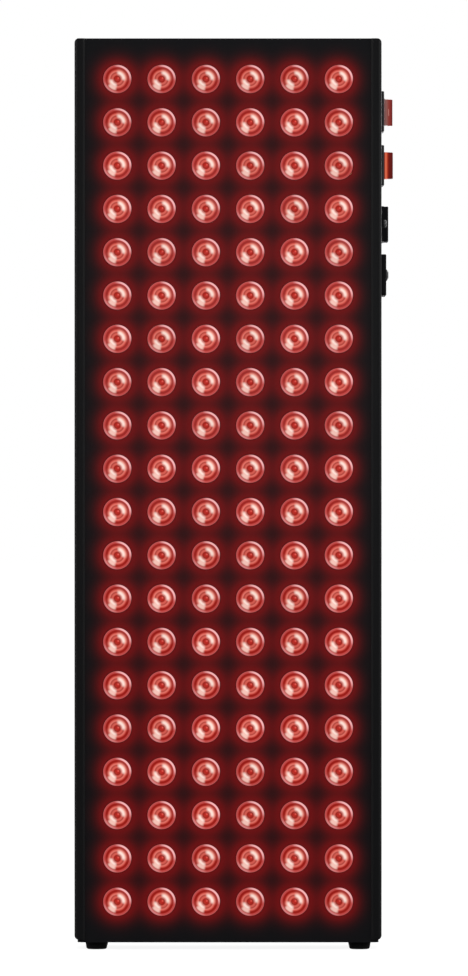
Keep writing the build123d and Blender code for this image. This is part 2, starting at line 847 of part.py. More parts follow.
def top_inserts():
    """Flush threaded inserts in the top wall, for hanging."""
    ring = Circle(insert_radius) - Circle(insert_thread_radius)
    collar = Circle(insert_flange_radius) - Circle(insert_thread_radius)
    under = case_top - sheet
    one = through_height(ring, case_top - insert_length, case_top)
    one += through_height(collar, under - insert_flange, under)
    return copies(one, [(x, 0, 0) for x in span(0, top_insert_spacing)])


def rubber_feet():
    """Four tapered rubber feet, each with a recess that hides its screw."""
    cone = loft([Circle(foot_radius - foot_taper), Pos(0, 0, foot_height) * Circle(foot_radius)])
    foot = fillet(cone.edges().sort_by(Axis.Z)[0], foot_edge_radius)
    foot -= extrude(Circle(foot_recess_radius), foot_recess_depth)
    foot -= extrude(Circle(foot_screw_radius + screw_play), foot_height + cut_overrun)
    return copies(foot, [(x, y, 0) for x, y in foot_places()])


def foot_screws():
    """Screws and nuts that hold the feet to the bottom wall."""
    one = facing_down(
        screw(foot_screw_head_radius, foot_screw_head, foot_screw_radius, foot_screw_length, m3_head_round)
    )
    nut = hexagon(foot_nut_flats) - Circle(foot_screw_radius + screw_play)
    nut_low = case_bottom + sheet
    screws = copies(one, [(x, y, foot_recess_depth) for x, y in foot_places()])
    nuts = copies(through_height(nut, nut_low, nut_low + foot_nut), [(x, y, 0) for x, y in foot_places()])
    return Compound([*screws.solids(), *nuts.solids()])


def switch_cavity():
    """(y, z) size of the well that the rocker swings in."""
    reach = rocker_reach() + rocker_side_play
    return 2 * reach, rocker_height + 2 * rocker_side_play


def rocker_rise():
    """Height of the rocker's middle above its pivot, and of its ends, when it is level."""
    swing = math.radians(rocker_swing)
    middle = (rocker_pivot_depth + rocker_flush) / math.cos(swing)
    return middle, middle + rocker_half_length * math.tan(swing)


def rocker_reach():
    """Radius of the rocker's curved ends about its pivot."""
    return math.hypot(rocker_half_length, rocker_rise()[1])


def switch_body(height):
    """Bezel on the rail and the hollow body behind it, open to the rocker."""
    plate_outline = RectangleRounded(bezel_length, bezel_height, bezel_corner_radius)
    flange = through_side(Pos(side_line, height) * plate_outline, side, bezel_face)
    flange = fillet(flange.faces().sort_by(Axis.X)[-1].edges(), bezel_edge_radius)
    inner = side - switch_body_depth
    barrel = Rectangle(switch_body_length, switch_body_height)
    body = flange + through_side(Pos(side_line, height) * barrel, inner, side)
    length, width = switch_cavity()
    well = Pos(side_line, height) * Rectangle(length, width)
    body -= through_side(well, inner + switch_floor, side)
    half_mouth = math.sqrt(rocker_reach() ** 2 - (rocker_pivot_depth - bezel) ** 2) + rocker_side_play
    opening = Pos(side_line, height) * Rectangle(2 * half_mouth, width)
    body -= through_side(opening, side, bezel_face + cut_overrun)
    pin = extrude(Circle(pivot_pin_radius + pivot_pin_play), width + 2 * (pivot_pin_length + pivot_pin_play))
    return body - Pos(pivot_x, side_line, height - width / 2 - pivot_pin_length - pivot_pin_play) * pin


def rocker(height, direction):
    """Rocker resting against one stop: direction 1 has its rear end pressed, -1 its front end."""
    middle, end = rocker_rise()
    radius = rocker_reach()
    low = math.radians(rocker_skirt_angle)
    top = math.atan2(end, rocker_half_length)
    between = (low + top) / 2
    lower = (radius * math.sin(low), radius * math.cos(low))
    half_way = (radius * math.sin(between), radius * math.cos(between))
    neck = (lower[0], rocker_hub_radius * rocker_neck_share)
    foot = (-rocker_hub_radius, rocker_hub_radius * rocker_foot_share)
    mirrored = [(x, -y) for x, y in (lower, half_way, neck, foot)]
    outline = [
        Polyline((end, -rocker_half_length), (middle, 0), (end, rocker_half_length)),
        ThreePointArc((end, rocker_half_length), half_way, lower),
        Polyline(lower, neck, foot, mirrored[3], mirrored[2], mirrored[0]),
        ThreePointArc(mirrored[0], mirrored[1], (end, -rocker_half_length)),
    ]
    body = extrude(make_face(outline), rocker_height / 2, both=True)
    crown = body.edges().filter_by(lambda e: e.center().X > middle - play and e.center().Z != 0)
    body = fillet(crown.filter_by(lambda e: abs(e.center().Z) > rocker_height / 2 - play), rocker_edge_radius)
    pins = extrude(Circle(pivot_pin_radius), rocker_height / 2 + pivot_pin_length, both=True)
    body += pins
    return Pos(pivot_x, side_line, height) * Rot(0, 0, direction * rocker_swing) * body


def switch_tabs(height):
    """Four blade terminals on the back of one switch."""
    inner = side - switch_body_depth
    reach = (inner - switch_tab_length, inner + tab_root)
    tab = block(reach, span(side_line, switch_tab_width), span(height, switch_tab))
    ys = (-switch_tab_spacing_y / 2, switch_tab_spacing_y / 2)
    zs = (-switch_tab_spacing_z / 2, switch_tab_spacing_z / 2)
    return copies(tab, [(0, y, z) for y in ys for z in zs])


def cut_tab_slots(body, tabs):
    """Opens the slots that a moulding closes round its terminals."""
    return body - tabs.solids()


def chamfered_rectangle(length, height, corner):
    """Rectangle with its two upper corners cut off, as on a mains connector."""
    outline = Rectangle(length, height)
    return chamfer(outline.vertices().sort_by(Axis.Y)[-2:], corner)


def mains_places(height):
    """(y, z) of the three mains pins: line and neutral low, earth high in the middle."""
    reach = mains_pin_spacing / 2
    low = height - mains_pin_offset
    return [(side_line - reach, low), (side_line + reach, low), (side_line, height + mains_pin_offset)]


def inlet_body():
    """Inlet moulding: screw flange, raised mouth, and the deep cavity round the pins."""
    here = Pos(side_line, inlet_height)
    inner = side - inlet_body_depth
    mouth = side + inlet_front
    flange = here * Rectangle(inlet_flange_length, inlet_flange_height)
    flange = through_side(flange, side, side + inlet_flange)
    raised = through_side(here * Rectangle(inlet_front_length, inlet_flange_height), side, mouth)
    body = flange + raised
    body = fillet(body.faces().sort_by(Axis.X)[-1].edges(), inlet_edge_radius)
    body += through_side(here * Rectangle(inlet_body_length, inlet_body_height), inner, side)
    cavity = here * chamfered_rectangle(inlet_cavity_length, inlet_cavity_height, inlet_cavity_corner)
    body -= through_side(cavity, inner + inlet_floor, mouth + cut_overrun)
    for y in span(side_line, inlet_screw_spacing):
        hole = Pos(y, inlet_height) * Circle(m3_radius + screw_play)
        body -= through_side(hole, side - cut_overrun, side + inlet_flange + cut_overrun)
    return cut_tab_slots(body, inlet_pins())


def inlet_pins():
    """Three pins, each one piece from its tip in the cavity to the tab behind the body."""
    inner = side - inlet_body_depth
    tip = side + inlet_front - mains_pin_tip_depth
    pins = []
    for y, z in mains_places(inlet_height):
        pins.append(block((inner - mains_tab_length, tip), span(y, mains_pin), span(z, mains_pin_height)))
    return Compound([s for pin in pins for s in pin.solids()])


def inlet_screws():
    """Screws and nuts that hold the inlet to the rail."""
    one = facing_right(screw(m3_head_radius, m3_head, m3_radius, inlet_screw_length, m3_head_round))
    nut = hexagon(m3_nut_flats) - Circle(m3_radius + screw_play)
    one_nut = through_side(nut, rail_inner - m3_nut, rail_inner)
    ys = span(side_line, inlet_screw_spacing)
    screws = copies(one, [(side + inlet_flange, y, inlet_height) for y in ys])
    nuts = copies(one_nut, [(0, y, inlet_height) for y in ys])
    return Compound([*screws.solids(), *nuts.solids()])


def outlet_body():
    """Outlet moulding: thick flange, a groove for the plug's shroud, and a core with three slots."""
    here = Pos(side_line, outlet_height)
    inner = side - outlet_body_depth
    face = side + outlet_flange
    outline = RectangleRounded(outlet_flange_length, outlet_flange_height, outlet_corner_radius)
    body = through_side(here * outline, side, face)
    body = fillet(body.faces().sort_by(Axis.X)[-1].edges(), outlet_edge_radius)
    body += through_side(here * Rectangle(outlet_body_length, outlet_body_height), inner, side)
    groove = Rectangle(outlet_groove_length, outlet_groove_height)
    groove -= chamfered_rectangle(outlet_core_length, outlet_core_height, outlet_core_corner)
    body -= through_side(here * groove, face - outlet_groove_depth, face + cut_overrun)
    for y, z in mains_places(outlet_height):
        slot = Pos(y, z) * Rectangle(outlet_slot, outlet_slot_height)
        body -= through_side(slot, face - outlet_slot_depth, face + cut_overrun)
    for y in span(side_line, outlet_screw_spacing):
        hole = Pos(y, outlet_height) * Circle(outlet_screw_radius + screw_play)
        body -= through_side(hole, side - cut_overrun, face + cut_overrun)
    return cut_tab_slots(body, outlet_contacts())


def outlet_contacts():
    """Three sprung contacts, each a blade along one wall of its slot and a tab behind the body."""
    inner = side - outlet_body_depth
    face = side + outlet_flange
    contacts = []
    for y, z in mains_places(outlet_height):
        wall = y + outlet_slot / 2
        reach = (inner - mains_tab_length, face - outlet_contact_setback)
        contacts.append(block(reach, (wall - outlet_contact, wall), span(z, mains_pin_height)))
    return Compound([s for contact in contacts for s in contact.solids()])


def outlet_screws():
    """Domed screws and their nuts, which hold the outlet to the rail."""
    head_radius = outlet_screw_head_radius
    dome_radius = (head_radius**2 + outlet_screw_head**2) / (2 * outlet_screw_head)
    ball = Pos(0, 0, outlet_screw_head - dome_radius) * Sphere(dome_radius)
    above = extrude(Circle(head_radius), outlet_screw_head)
    one = (ball & above) + extrude(Circle(outlet_screw_radius), -outlet_screw_length)
    nut = hexagon(outlet_nut_flats) - Circle(outlet_screw_radius + screw_play)
    one_nut = through_side(nut, rail_inner - m3_nut, rail_inner)
    ys = span(side_line, outlet_screw_spacing)
    screws = copies(facing_right(one), [(side + outlet_flange, y, outlet_height) for y in ys])
    nuts = copies(one_nut, [(0, y, outlet_height) for y in ys])
    return Compound([*screws.solids(), *nuts.solids()])


def all_parts():
    """Every piece by its node name."""
    rail = side_rail()
    made = {
        "left_side_rail": mirror(rail, Plane.YZ),
        "right_side_rail": cut_side_openings(rail),
        "front_plate": front_plate(),
        "rear_cover": rear_cover(),
        "board_standoffs": standoffs(),
        "heat_sink_screws": sink_screws(),
        "case_screws": case_screws(),
        "fan_stators": fan_stators(),
        "fan_screws": fan_screws(),
        "driver_screws": driver_screws(),
        "terminal_block": terminal_block(),
        "earth_stud": earth_stud(),
        "wall_bracket_inserts": wall_inserts(),
        "hanging_inserts": top_inserts(),
        "rubber_feet": rubber_feet(),
        "foot_screws": foot_screws(),
        "inlet_body": inlet_body(),
        "inlet_pins": inlet_pins(),
        "inlet_screws": inlet_screws(),
        "outlet_body": outlet_body(),
        "outlet_contacts": outlet_contacts(),
        "outlet_screws": outlet_screws(),
    }
    one_lens = lens()
    one_holder = lens_holder()
    one_emitter = emitter()
    for n in range(board_count):
        places = light_places(n, board_front)
        made[f"led_board_{n + 1}"] = led_board(n)
        made[f"lenses_{n + 1}"] = copies(one_lens, places)
        made[f"lens_holders_{n + 1}"] = copies(one_holder, places)
        made[f"led_emitters_{n + 1}"] = copies(one_emitter, places)
    for n in range(sink_count):
        made[f"heat_sink_{n + 1}"] = heat_sink(n)
    for n, height in enumerate(fan_heights):
        made[f"fan_frame_{n + 1}"] = fan_frame(height)
        made[f"fan_rotor_{n + 1}"] = fan_rotor(height)
        made[f"fan_guard_{n + 1}"] = fan_guard(height)
    for n, height in enumerate(driver_middles()):
        made[f"led_driver_{n + 1}"] = led_driver(height)
    for name, height, direction in (("upper", upper_switch_height, -1), ("lower", lower_switch_height, 1)):
        tabs = switch_tabs(height)
        made[f"{name}_switch_body"] = cut_tab_slots(switch_body(height), tabs)
        made[f"{name}_switch_tabs"] = tabs
        made[f"{name}_switch_rocker"] = rocker(height, direction)
    return made


os.makedirs("parts", exist_ok=True)
for name, shape in all_parts().items():
    export_step(shape, f"parts/{name}.step")
    print(name, len(shape.solids()), "solids", round(sum(s.volume for s in shape.solids())), "mm3")
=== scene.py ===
"""Looks of a red light therapy panel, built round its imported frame.

The frame gives every piece its place. This script dresses the frame's own solids and builds
the finer pieces that show: the lit lenses, the rocker switches, the fan rotors and the screws.
"""

from __future__ import annotations

import logging
import math
from dataclasses import dataclass
from enum import Enum
from typing import Iterable

import bmesh
import bpy
from mathutils import Matrix, Vector

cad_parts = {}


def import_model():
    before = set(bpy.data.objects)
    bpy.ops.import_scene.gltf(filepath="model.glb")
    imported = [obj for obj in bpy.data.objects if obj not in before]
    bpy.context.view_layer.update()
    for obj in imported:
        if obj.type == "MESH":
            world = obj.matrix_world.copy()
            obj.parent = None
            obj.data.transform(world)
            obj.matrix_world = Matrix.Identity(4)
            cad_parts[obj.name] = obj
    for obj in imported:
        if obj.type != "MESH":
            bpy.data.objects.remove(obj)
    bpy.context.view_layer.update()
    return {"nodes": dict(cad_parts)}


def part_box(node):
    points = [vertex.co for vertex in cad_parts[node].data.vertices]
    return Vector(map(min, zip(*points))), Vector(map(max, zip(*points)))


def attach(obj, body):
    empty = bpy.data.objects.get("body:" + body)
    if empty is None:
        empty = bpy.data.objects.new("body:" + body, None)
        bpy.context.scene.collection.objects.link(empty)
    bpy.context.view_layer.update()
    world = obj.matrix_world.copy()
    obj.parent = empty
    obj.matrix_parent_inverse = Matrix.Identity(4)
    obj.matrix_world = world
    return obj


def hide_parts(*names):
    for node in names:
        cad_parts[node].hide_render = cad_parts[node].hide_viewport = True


LOG = logging.getLogger("panel")
MM = 0.001
QUARTER = math.pi / 2
TURN = 2 * math.pi
# Lengths in metres under which vertices merge and edges go.
MERGE = 1e-6
SLIVER = 1e-7
# The node kinds that are used most.
MATH = "ShaderNodeMath"
VECTOR_MATH = "ShaderNodeVectorMath"
MAP_RANGE = "ShaderNodeMapRange"
# What makes a Map Range node ease in and out.
EASED = {"interpolation_type": "SMOOTHSTEP"}
# A Mix node's two colour inputs and its colour output.
UNDER, OVER, MIXED = 6, 7, 2

Colour = tuple[float, float, float, float]
Points = list[tuple[float, float]]
Stops = tuple[tuple[float, str], ...]
Shape = bmesh.types.BMesh
Tree = bpy.types.NodeTree
Node = bpy.types.Node
Socket = bpy.types.NodeSocket
Material = bpy.types.Material
FrameNodes = dict[str, bpy.types.Object]


# Colour and node helpers


def linear(hex_colour: str) -> Colour:
    """Turns an sRGB hex colour into linear values.

    Args:
        hex_colour: Six hex digits after a leading mark.

    Returns:
        Linear red, green, blue and an alpha of 1.
    """
    parts = [int(hex_colour[i : i + 2], 16) / 255 for i in (1, 3, 5)]
    values = [c / 12.92 if c <= 0.04045 else ((c + 0.055) / 1.055) ** 2.4 for c in parts]
    return (*values, 1.0)


def add_node(tree: Tree, kind: str, inputs: dict | None = None, **settings: object) -> Node:
    """Adds a node with its settings and links.

    Args:
        tree: The node tree that takes the node.
        kind: The node's type name.
        inputs: Values, sockets or nodes for its inputs, by name or number. A node stands for
            its first output.
        settings: The node's own properties.

    Returns:
        The new node.
    """
    node = tree.nodes.new(kind)
    for name, value in settings.items():
        setattr(node, name, value)
    for key, value in (inputs or {}).items():
        if isinstance(value, Node):
            tree.links.new(value.outputs[0], node.inputs[key])
        elif isinstance(value, Socket):
            tree.links.new(value, node.inputs[key])
        else:
            node.inputs[key].default_value = value
    return node


def empty_tree(owner: Material | bpy.types.World) -> Tree:
    """Gives a material or a world a node tree with nothing in it.

    Args:
        owner: The material or world.

    Returns:
        The empty tree.
    """
    owner.use_nodes = True
    owner.node_tree.nodes.clear()
    return owner.node_tree


def set_stops(ramp: Node, stops: Stops) -> None:
    """Fills a colour ramp.

    Args:
        ramp: The ramp node.
        stops: Place from 0 to 1 and hex colour of each stop, in order.
    """
    elements = ramp.color_ramp.elements
    while len(elements) > 1:
        elements.remove(elements[-1])
    elements[0].position, elements[0].color = stops[0][0], linear(stops[0][1])
    for place, colour in stops[1:]:
        elements.new(place).color = linear(colour)


# Mesh helpers


def spin_profile(bm: Shape, outline: Points, steps: int, closed: bool = False) -> None:
    """Spins an outline round the Z axis.

    Args:
        bm: The mesh that takes the shape.
        outline: (radius, height) points in millimetres, from one end to the other.
        steps: Number of steps round the full turn.
        closed: Whether the outline's last point joins its first.
    """
    verts = [bm.verts.new((r * MM, 0, h * MM)) for r, h in outline]
    edges = [bm.edges.new(pair) for pair in zip(verts, verts[1:])]
    if closed:
        edges.append(bm.edges.new((verts[-1], verts[0])))
    bmesh.ops.spin(
        bm,
        geom=verts + edges,
        axis=(0, 0, 1),
        cent=(0, 0, 0),
        angle=TURN,
        steps=steps,
        use_merge=True,
    )
    bmesh.ops.remove_doubles(bm, verts=bm.verts, dist=MERGE)
    bmesh.ops.dissolve_degenerate(bm, edges=bm.edges, dist=SLIVER)
    bmesh.ops.recalc_face_normals(bm, faces=bm.faces)


def arc(centre: tuple[float, float], radius: float, start: float, end: float, steps: int) -> Points:
    """Works out points along an arc between two angles in radians, one more than its steps."""
    angles = [start + (end - start) * i / steps for i in range(steps + 1)]
    return [(centre[0] + radius * math.cos(a), centre[1] + radius * math.sin(a)) for a in angles]


def mark_edges(bm: Shape, sharp_degrees: float = 35.0) -> None:
    """Shades faces smooth and keeps the sharp edges sharp.

    Args:
        bm: The mesh.
        sharp_degrees: Edges that turn by more than this stay sharp.
    """
    limit = math.radians(sharp_degrees)
    for face in bm.faces:
        face.smooth = True
    for edge in bm.edges:
        edge.smooth = edge.calc_face_angle(0.0) < limit


def add_object(name: str, data: bpy.types.ID) -> bpy.types.Object:
    """Puts a mesh, a lamp or a camera in the scene.

    Args:
        name: The object's name.
        data: What it shows.

    Returns:
        The new object, at the origin.
    """
    thing = bpy.data.objects.new(name, data)
    bpy.context.collection.objects.link(thing)
    return thing


def add_piece(name: str, bm: Shape, material: Material) -> bpy.types.Object:
    """Turns a mesh into an object at the origin.

    Args:
        name: The piece's name.
        bm: The mesh, which is freed.
        material: The piece's material.

    Returns:
        The new object.
    """
    mark_edges(bm)
    mesh = bpy.data.meshes.new(name)
    bm.to_mesh(mesh)
    bm.free()
    mesh.materials.append(material)
    return add_object(name, mesh)


def add_copies(together: Shape, shape: Shape, places: Iterable[Matrix]) -> None:
    """Adds copies of a shape to a mesh.

    Args:
        together: The mesh that takes the copies.
        shape: The shape, which is freed.
        places: One matrix for each copy.
    """
    single = bpy.data.meshes.new("single")
    shape.to_mesh(single)
    shape.free()
    for place in places:
        one = single.copy()
        one.transform(place)
        together.from_mesh(one)
        bpy.data.meshes.remove(one)
    bpy.data.meshes.remove(single)


class Facing(Enum):
    """The way that a shape built along +Z points in place: the angle and axis that turn it."""

    FRONT = (QUARTER, "X")
    BACK = (-QUARTER, "X")
    RIGHT = (QUARTER, "Y")
    DOWN = (math.pi, "X")

    def turn(self) -> Matrix:
        """Rotation that points +Z this way."""
        angle, axis = self.value
        return Matrix.Rotation(angle, 4, axis)


@dataclass(frozen=True)
class LightGrid:
    """Places of the lights on the front plate, in metres."""

    columns: int
    rows: int
    lens_radius: float
    pitch_x: float
    pitch_z: float
    middle_z: float

    @property
    def reach_x(self) -> float:
        """Distance from the middle to the outer columns."""
        return (self.columns - 1) * self.pitch_x / 2

    @property
    def reach_z(self) -> float:
        """Distance from the middle to the top and bottom rows."""
        return (self.rows - 1) * self.pitch_z / 2

    def places(self, board: int, boards: int) -> Points:
        """Works out where the lights of one board are.

        Args:
            board: The board's number, counted from 0 at the bottom.
            boards: Number of boards.

        Returns:
            (x, z) of each light.
        """
        each = self.rows // boards
        xs = [i * self.pitch_x - self.reach_x for i in range(self.columns)]
        first = self.middle_z - self.reach_z
        zs = [first + (board * each + i) * self.pitch_z for i in range(each)]
        return [(x, z) for z in zs for x in xs]


# Finishes


@dataclass(frozen=True)
class Finish:
    """A finish of one colour with a fine grain in its roughness and its surface.

    Grain is the distance between the grain's bumps and relief their height, in millimetres.
    Broad is how many grains the colour's own soft patches measure, and details are the depths
    of the fine and the broad noise. Mottle is the share by which colour and roughness wander.
    A metal keeps the shader's own index of refraction. Wearers are the frame's nodes, or the
    beginnings of their names, that have the finish.
    """

    name: str
    colour: str
    roughness: float
    metallic: float = 0.0
    ior: float = 1.5
    specular: float = 0.5
    grain: float = 0.3
    relief: float = 0.006
    broad: float = 40.0
    details: tuple[float, float] = (2.0, 3.0)
    mottle: float = 0.06
    stretch: tuple[float, float, float] = (1.0, 1.0, 1.0)
    wearers: tuple[str, ...] = ()

    def build(self) -> Material:
        """Makes the material.

        Returns:
            The material.
        """
        material = bpy.data.materials.new(self.name)
        tree = empty_tree(material)
        place = add_node(tree, "ShaderNodeTexCoord").outputs["Object"]
        shader = add_node(
            tree,
            "ShaderNodeBsdfPrincipled",
            {
                "Base Color": linear(self.colour),
                "Roughness": self.roughness,
                "Metallic": self.metallic,
                "Specular IOR Level": self.specular,
            },
        )
        if not self.metallic:
            shader.inputs["IOR"].default_value = self.ior
        self.add_grain(tree, shader, place)
        self.dress(tree, shader, place)
        add_node(tree, "ShaderNodeOutputMaterial", {"Surface": shader})
        return material

    def add_grain(self, tree: Tree, shader: Node, place: Socket) -> None:
        """Adds the grain to colour, roughness and surface.

        Args:
            tree: The material's node tree.
            shader: The material's shader.
            place: Object coordinates.
        """
        # Noise keeps to about the middle half of its range, so the ends lie twice as far out.
        low, high = 1 - 2 * self.mottle, 1 + 2 * self.mottle
        stretched = add_node(tree, "ShaderNodeMapping", {"Vector": place, "Scale": self.stretch})
        fine, broad = (
            add_node(
                tree,
                "ShaderNodeTexNoise",
                {"Vector": stretched, "Scale": 1 / (size * MM), "Detail": detail},
            )
            for size, detail in zip((self.grain, self.broad * self.grain), self.details)
        )
        tint = add_node(tree, MAP_RANGE, {"Value": broad, "To Min": low, "To Max": high})
        colour = linear(self.colour)[:3]
        shade = add_node(tree, VECTOR_MATH, {0: colour, "Scale": tint}, operation="SCALE")
        rough_ends = {"To Min": self.roughness * low, "To Max": self.roughness * high}
        rough = add_node(tree, MAP_RANGE, {"Value": fine, **rough_ends})
        bump = add_node(tree, "ShaderNodeBump", {"Height": fine, "Distance": self.relief * MM})
        for node, key in ((shade, "Base Color"), (rough, "Roughness"), (bump, "Normal")):
            tree.links.new(node.outputs[0], shader.inputs[key])

    def dress(self, tree: Tree, shader: Node, place: Socket) -> None:
        """Adds what only this finish has. A plain finish adds nothing."""

    @staticmethod
    def light_up(tree: Tree, shader: Node, colour: Node) -> None:
        """Makes the surface give off a colour, the first output of its node."""
        tree.links.new(colour.outputs[0], shader.inputs["Emission Color"])
        shader.inputs["Emission Strength"].default_value = 1.0

    def dress_frame(self, nodes: FrameNodes) -> None:
        """Gives this finish to the frame's nodes that wear it.

        Args:
            nodes: All of the frame's nodes.
        """
        material = self.build()
        for name, node in nodes.items():
            if name.startswith(self.wearers):
                node.data.materials.clear()
                node.data.materials.append(material)


@dataclass(frozen=True)
class GlowingPlate(Finish):
    """Powder coat with the red light that the lit lenses throw over it painted into its emission.

    The glow is brightest against a lens, stays strong between neighbours, is weakest at the
    middle of four lenses and dies away over fade, in millimetres, beyond the outer lenses.
    Along each axis it is mean_share give or take swing_share, and it stops short of ceiling.
    """

    grid: LightGrid | None = None
    mean_share: float = 0.42
    swing_share: float = 0.265
    fade: float = 7.0
    ceiling: float = 0.13
    glow: str = "#FF0806"

    def wave(self, tree: Tree, value: Socket, reach: float, pitch: float) -> Node:
        """Adds the brightness along one axis, which peaks at each light and fades past the last.

        Args:
            tree: The material's node tree.
            value: Distance from the grid's middle along the axis.
            reach: Distance from the middle to the last light.
            pitch: Distance between lights.

        Returns:
            The brightness's node.
        """
        inside = add_node(tree, "ShaderNodeClamp", {"Value": value, "Min": -reach, "Max": reach})
        start = add_node(tree, MATH, {0: inside, 1: reach}, operation="ADD")
        phase = add_node(tree, MATH, {0: start, 1: TURN / pitch}, operation="MULTIPLY")
        ripple = add_node(tree, MATH, {0: phase}, operation="COSINE")
        shares = {1: self.swing_share, 2: self.mean_share}
        level = add_node(tree, MATH, {0: ripple, **shares}, operation="MULTIPLY_ADD")
        past = add_node(tree, MATH, {0: value, 1: inside}, operation="SUBTRACT")
        square = add_node(tree, MATH, {0: past, 1: past}, operation="MULTIPLY")
        spread = -1 / (2 * (self.fade * MM) ** 2)
        power = add_node(tree, MATH, {0: square, 1: spread}, operation="MULTIPLY")
        fall = add_node(tree, MATH, {0: power}, operation="EXPONENT")
        return add_node(tree, MATH, {0: level, 1: fall}, operation="MULTIPLY")

    def dress(self, tree: Tree, shader: Node, place: Socket) -> None:
        """Adds the painted glow.

        Args:
            tree: The material's node tree.
            shader: The material's shader.
            place: Object coordinates.
        """
        grid = self.grid
        middle = (0, 0, grid.middle_z)
        centred = add_node(tree, VECTOR_MATH, {0: place, 1: middle}, operation="SUBTRACT")
        axes = add_node(tree, "ShaderNodeSeparateXYZ", {0: centred})
        across = self.wave(tree, axes.outputs["X"], grid.reach_x, grid.pitch_x)
        along = self.wave(tree, axes.outputs["Z"], grid.reach_z, grid.pitch_z)
        # The painted glow: strong by each lens, weaker between lenses, fading past the outer ones.
        level = add_node(tree, MATH, {0: across, 1: along}, operation="MULTIPLY")
        limits = {1: self.ceiling, 2: self.ceiling / 2}
        soft = add_node(tree, MATH, {0: level, **limits}, operation="SMOOTH_MIN")
        glow = linear(self.glow)[:3]
        colour = add_node(tree, VECTOR_MATH, {0: glow, "Scale": soft}, operation="SCALE")
        self.light_up(tree, shader, colour)


@dataclass(frozen=True)
class Wedge:
    """A wedge of a lens: its middle in degrees, and the cosines where it starts and is full."""

    degrees: float
    start: float
    full: float

    def mask(self, tree: Tree, angle: Node) -> Node:
        """Adds a mask that is 1 near the wedge's middle and 0 away from it.

        Args:
            tree: The material's node tree.
            angle: Angle round the lens, in radians.

        Returns:
            The mask's node.
        """
        middle = math.radians(self.degrees)
        off = add_node(tree, MATH, {0: angle, 1: middle}, operation="SUBTRACT")
        cosine = add_node(tree, MATH, {0: off}, operation="COSINE")
        ends = {"From Min": self.start, "From Max": self.full}
        return add_node(tree, MAP_RANGE, {"Value": cosine, **ends}, **EASED)


@dataclass(frozen=True)
class Band:
    """A ring of a lens, in shares of its radius: where it starts, is full, eases off and ends."""

    start: float
    full: float
    ease: float
    end: float

    def mask(self, tree: Tree, radius: Socket) -> Node:
        """Adds a mask that is 1 where the band is full and 0 outside it.

        Args:
            tree: The material's node tree.
            radius: Distance from the lens's middle, as a share of its radius.

        Returns:
            The mask's node.
        """
        slopes = [
            add_node(tree, MAP_RANGE, {"Value": radius, "From Min": out, "From Max": full}, **EASED)
            for out, full in ((self.start, self.full), (self.end, self.ease))
        ]
        return add_node(tree, MATH, dict(enumerate(slopes)), operation="MULTIPLY")


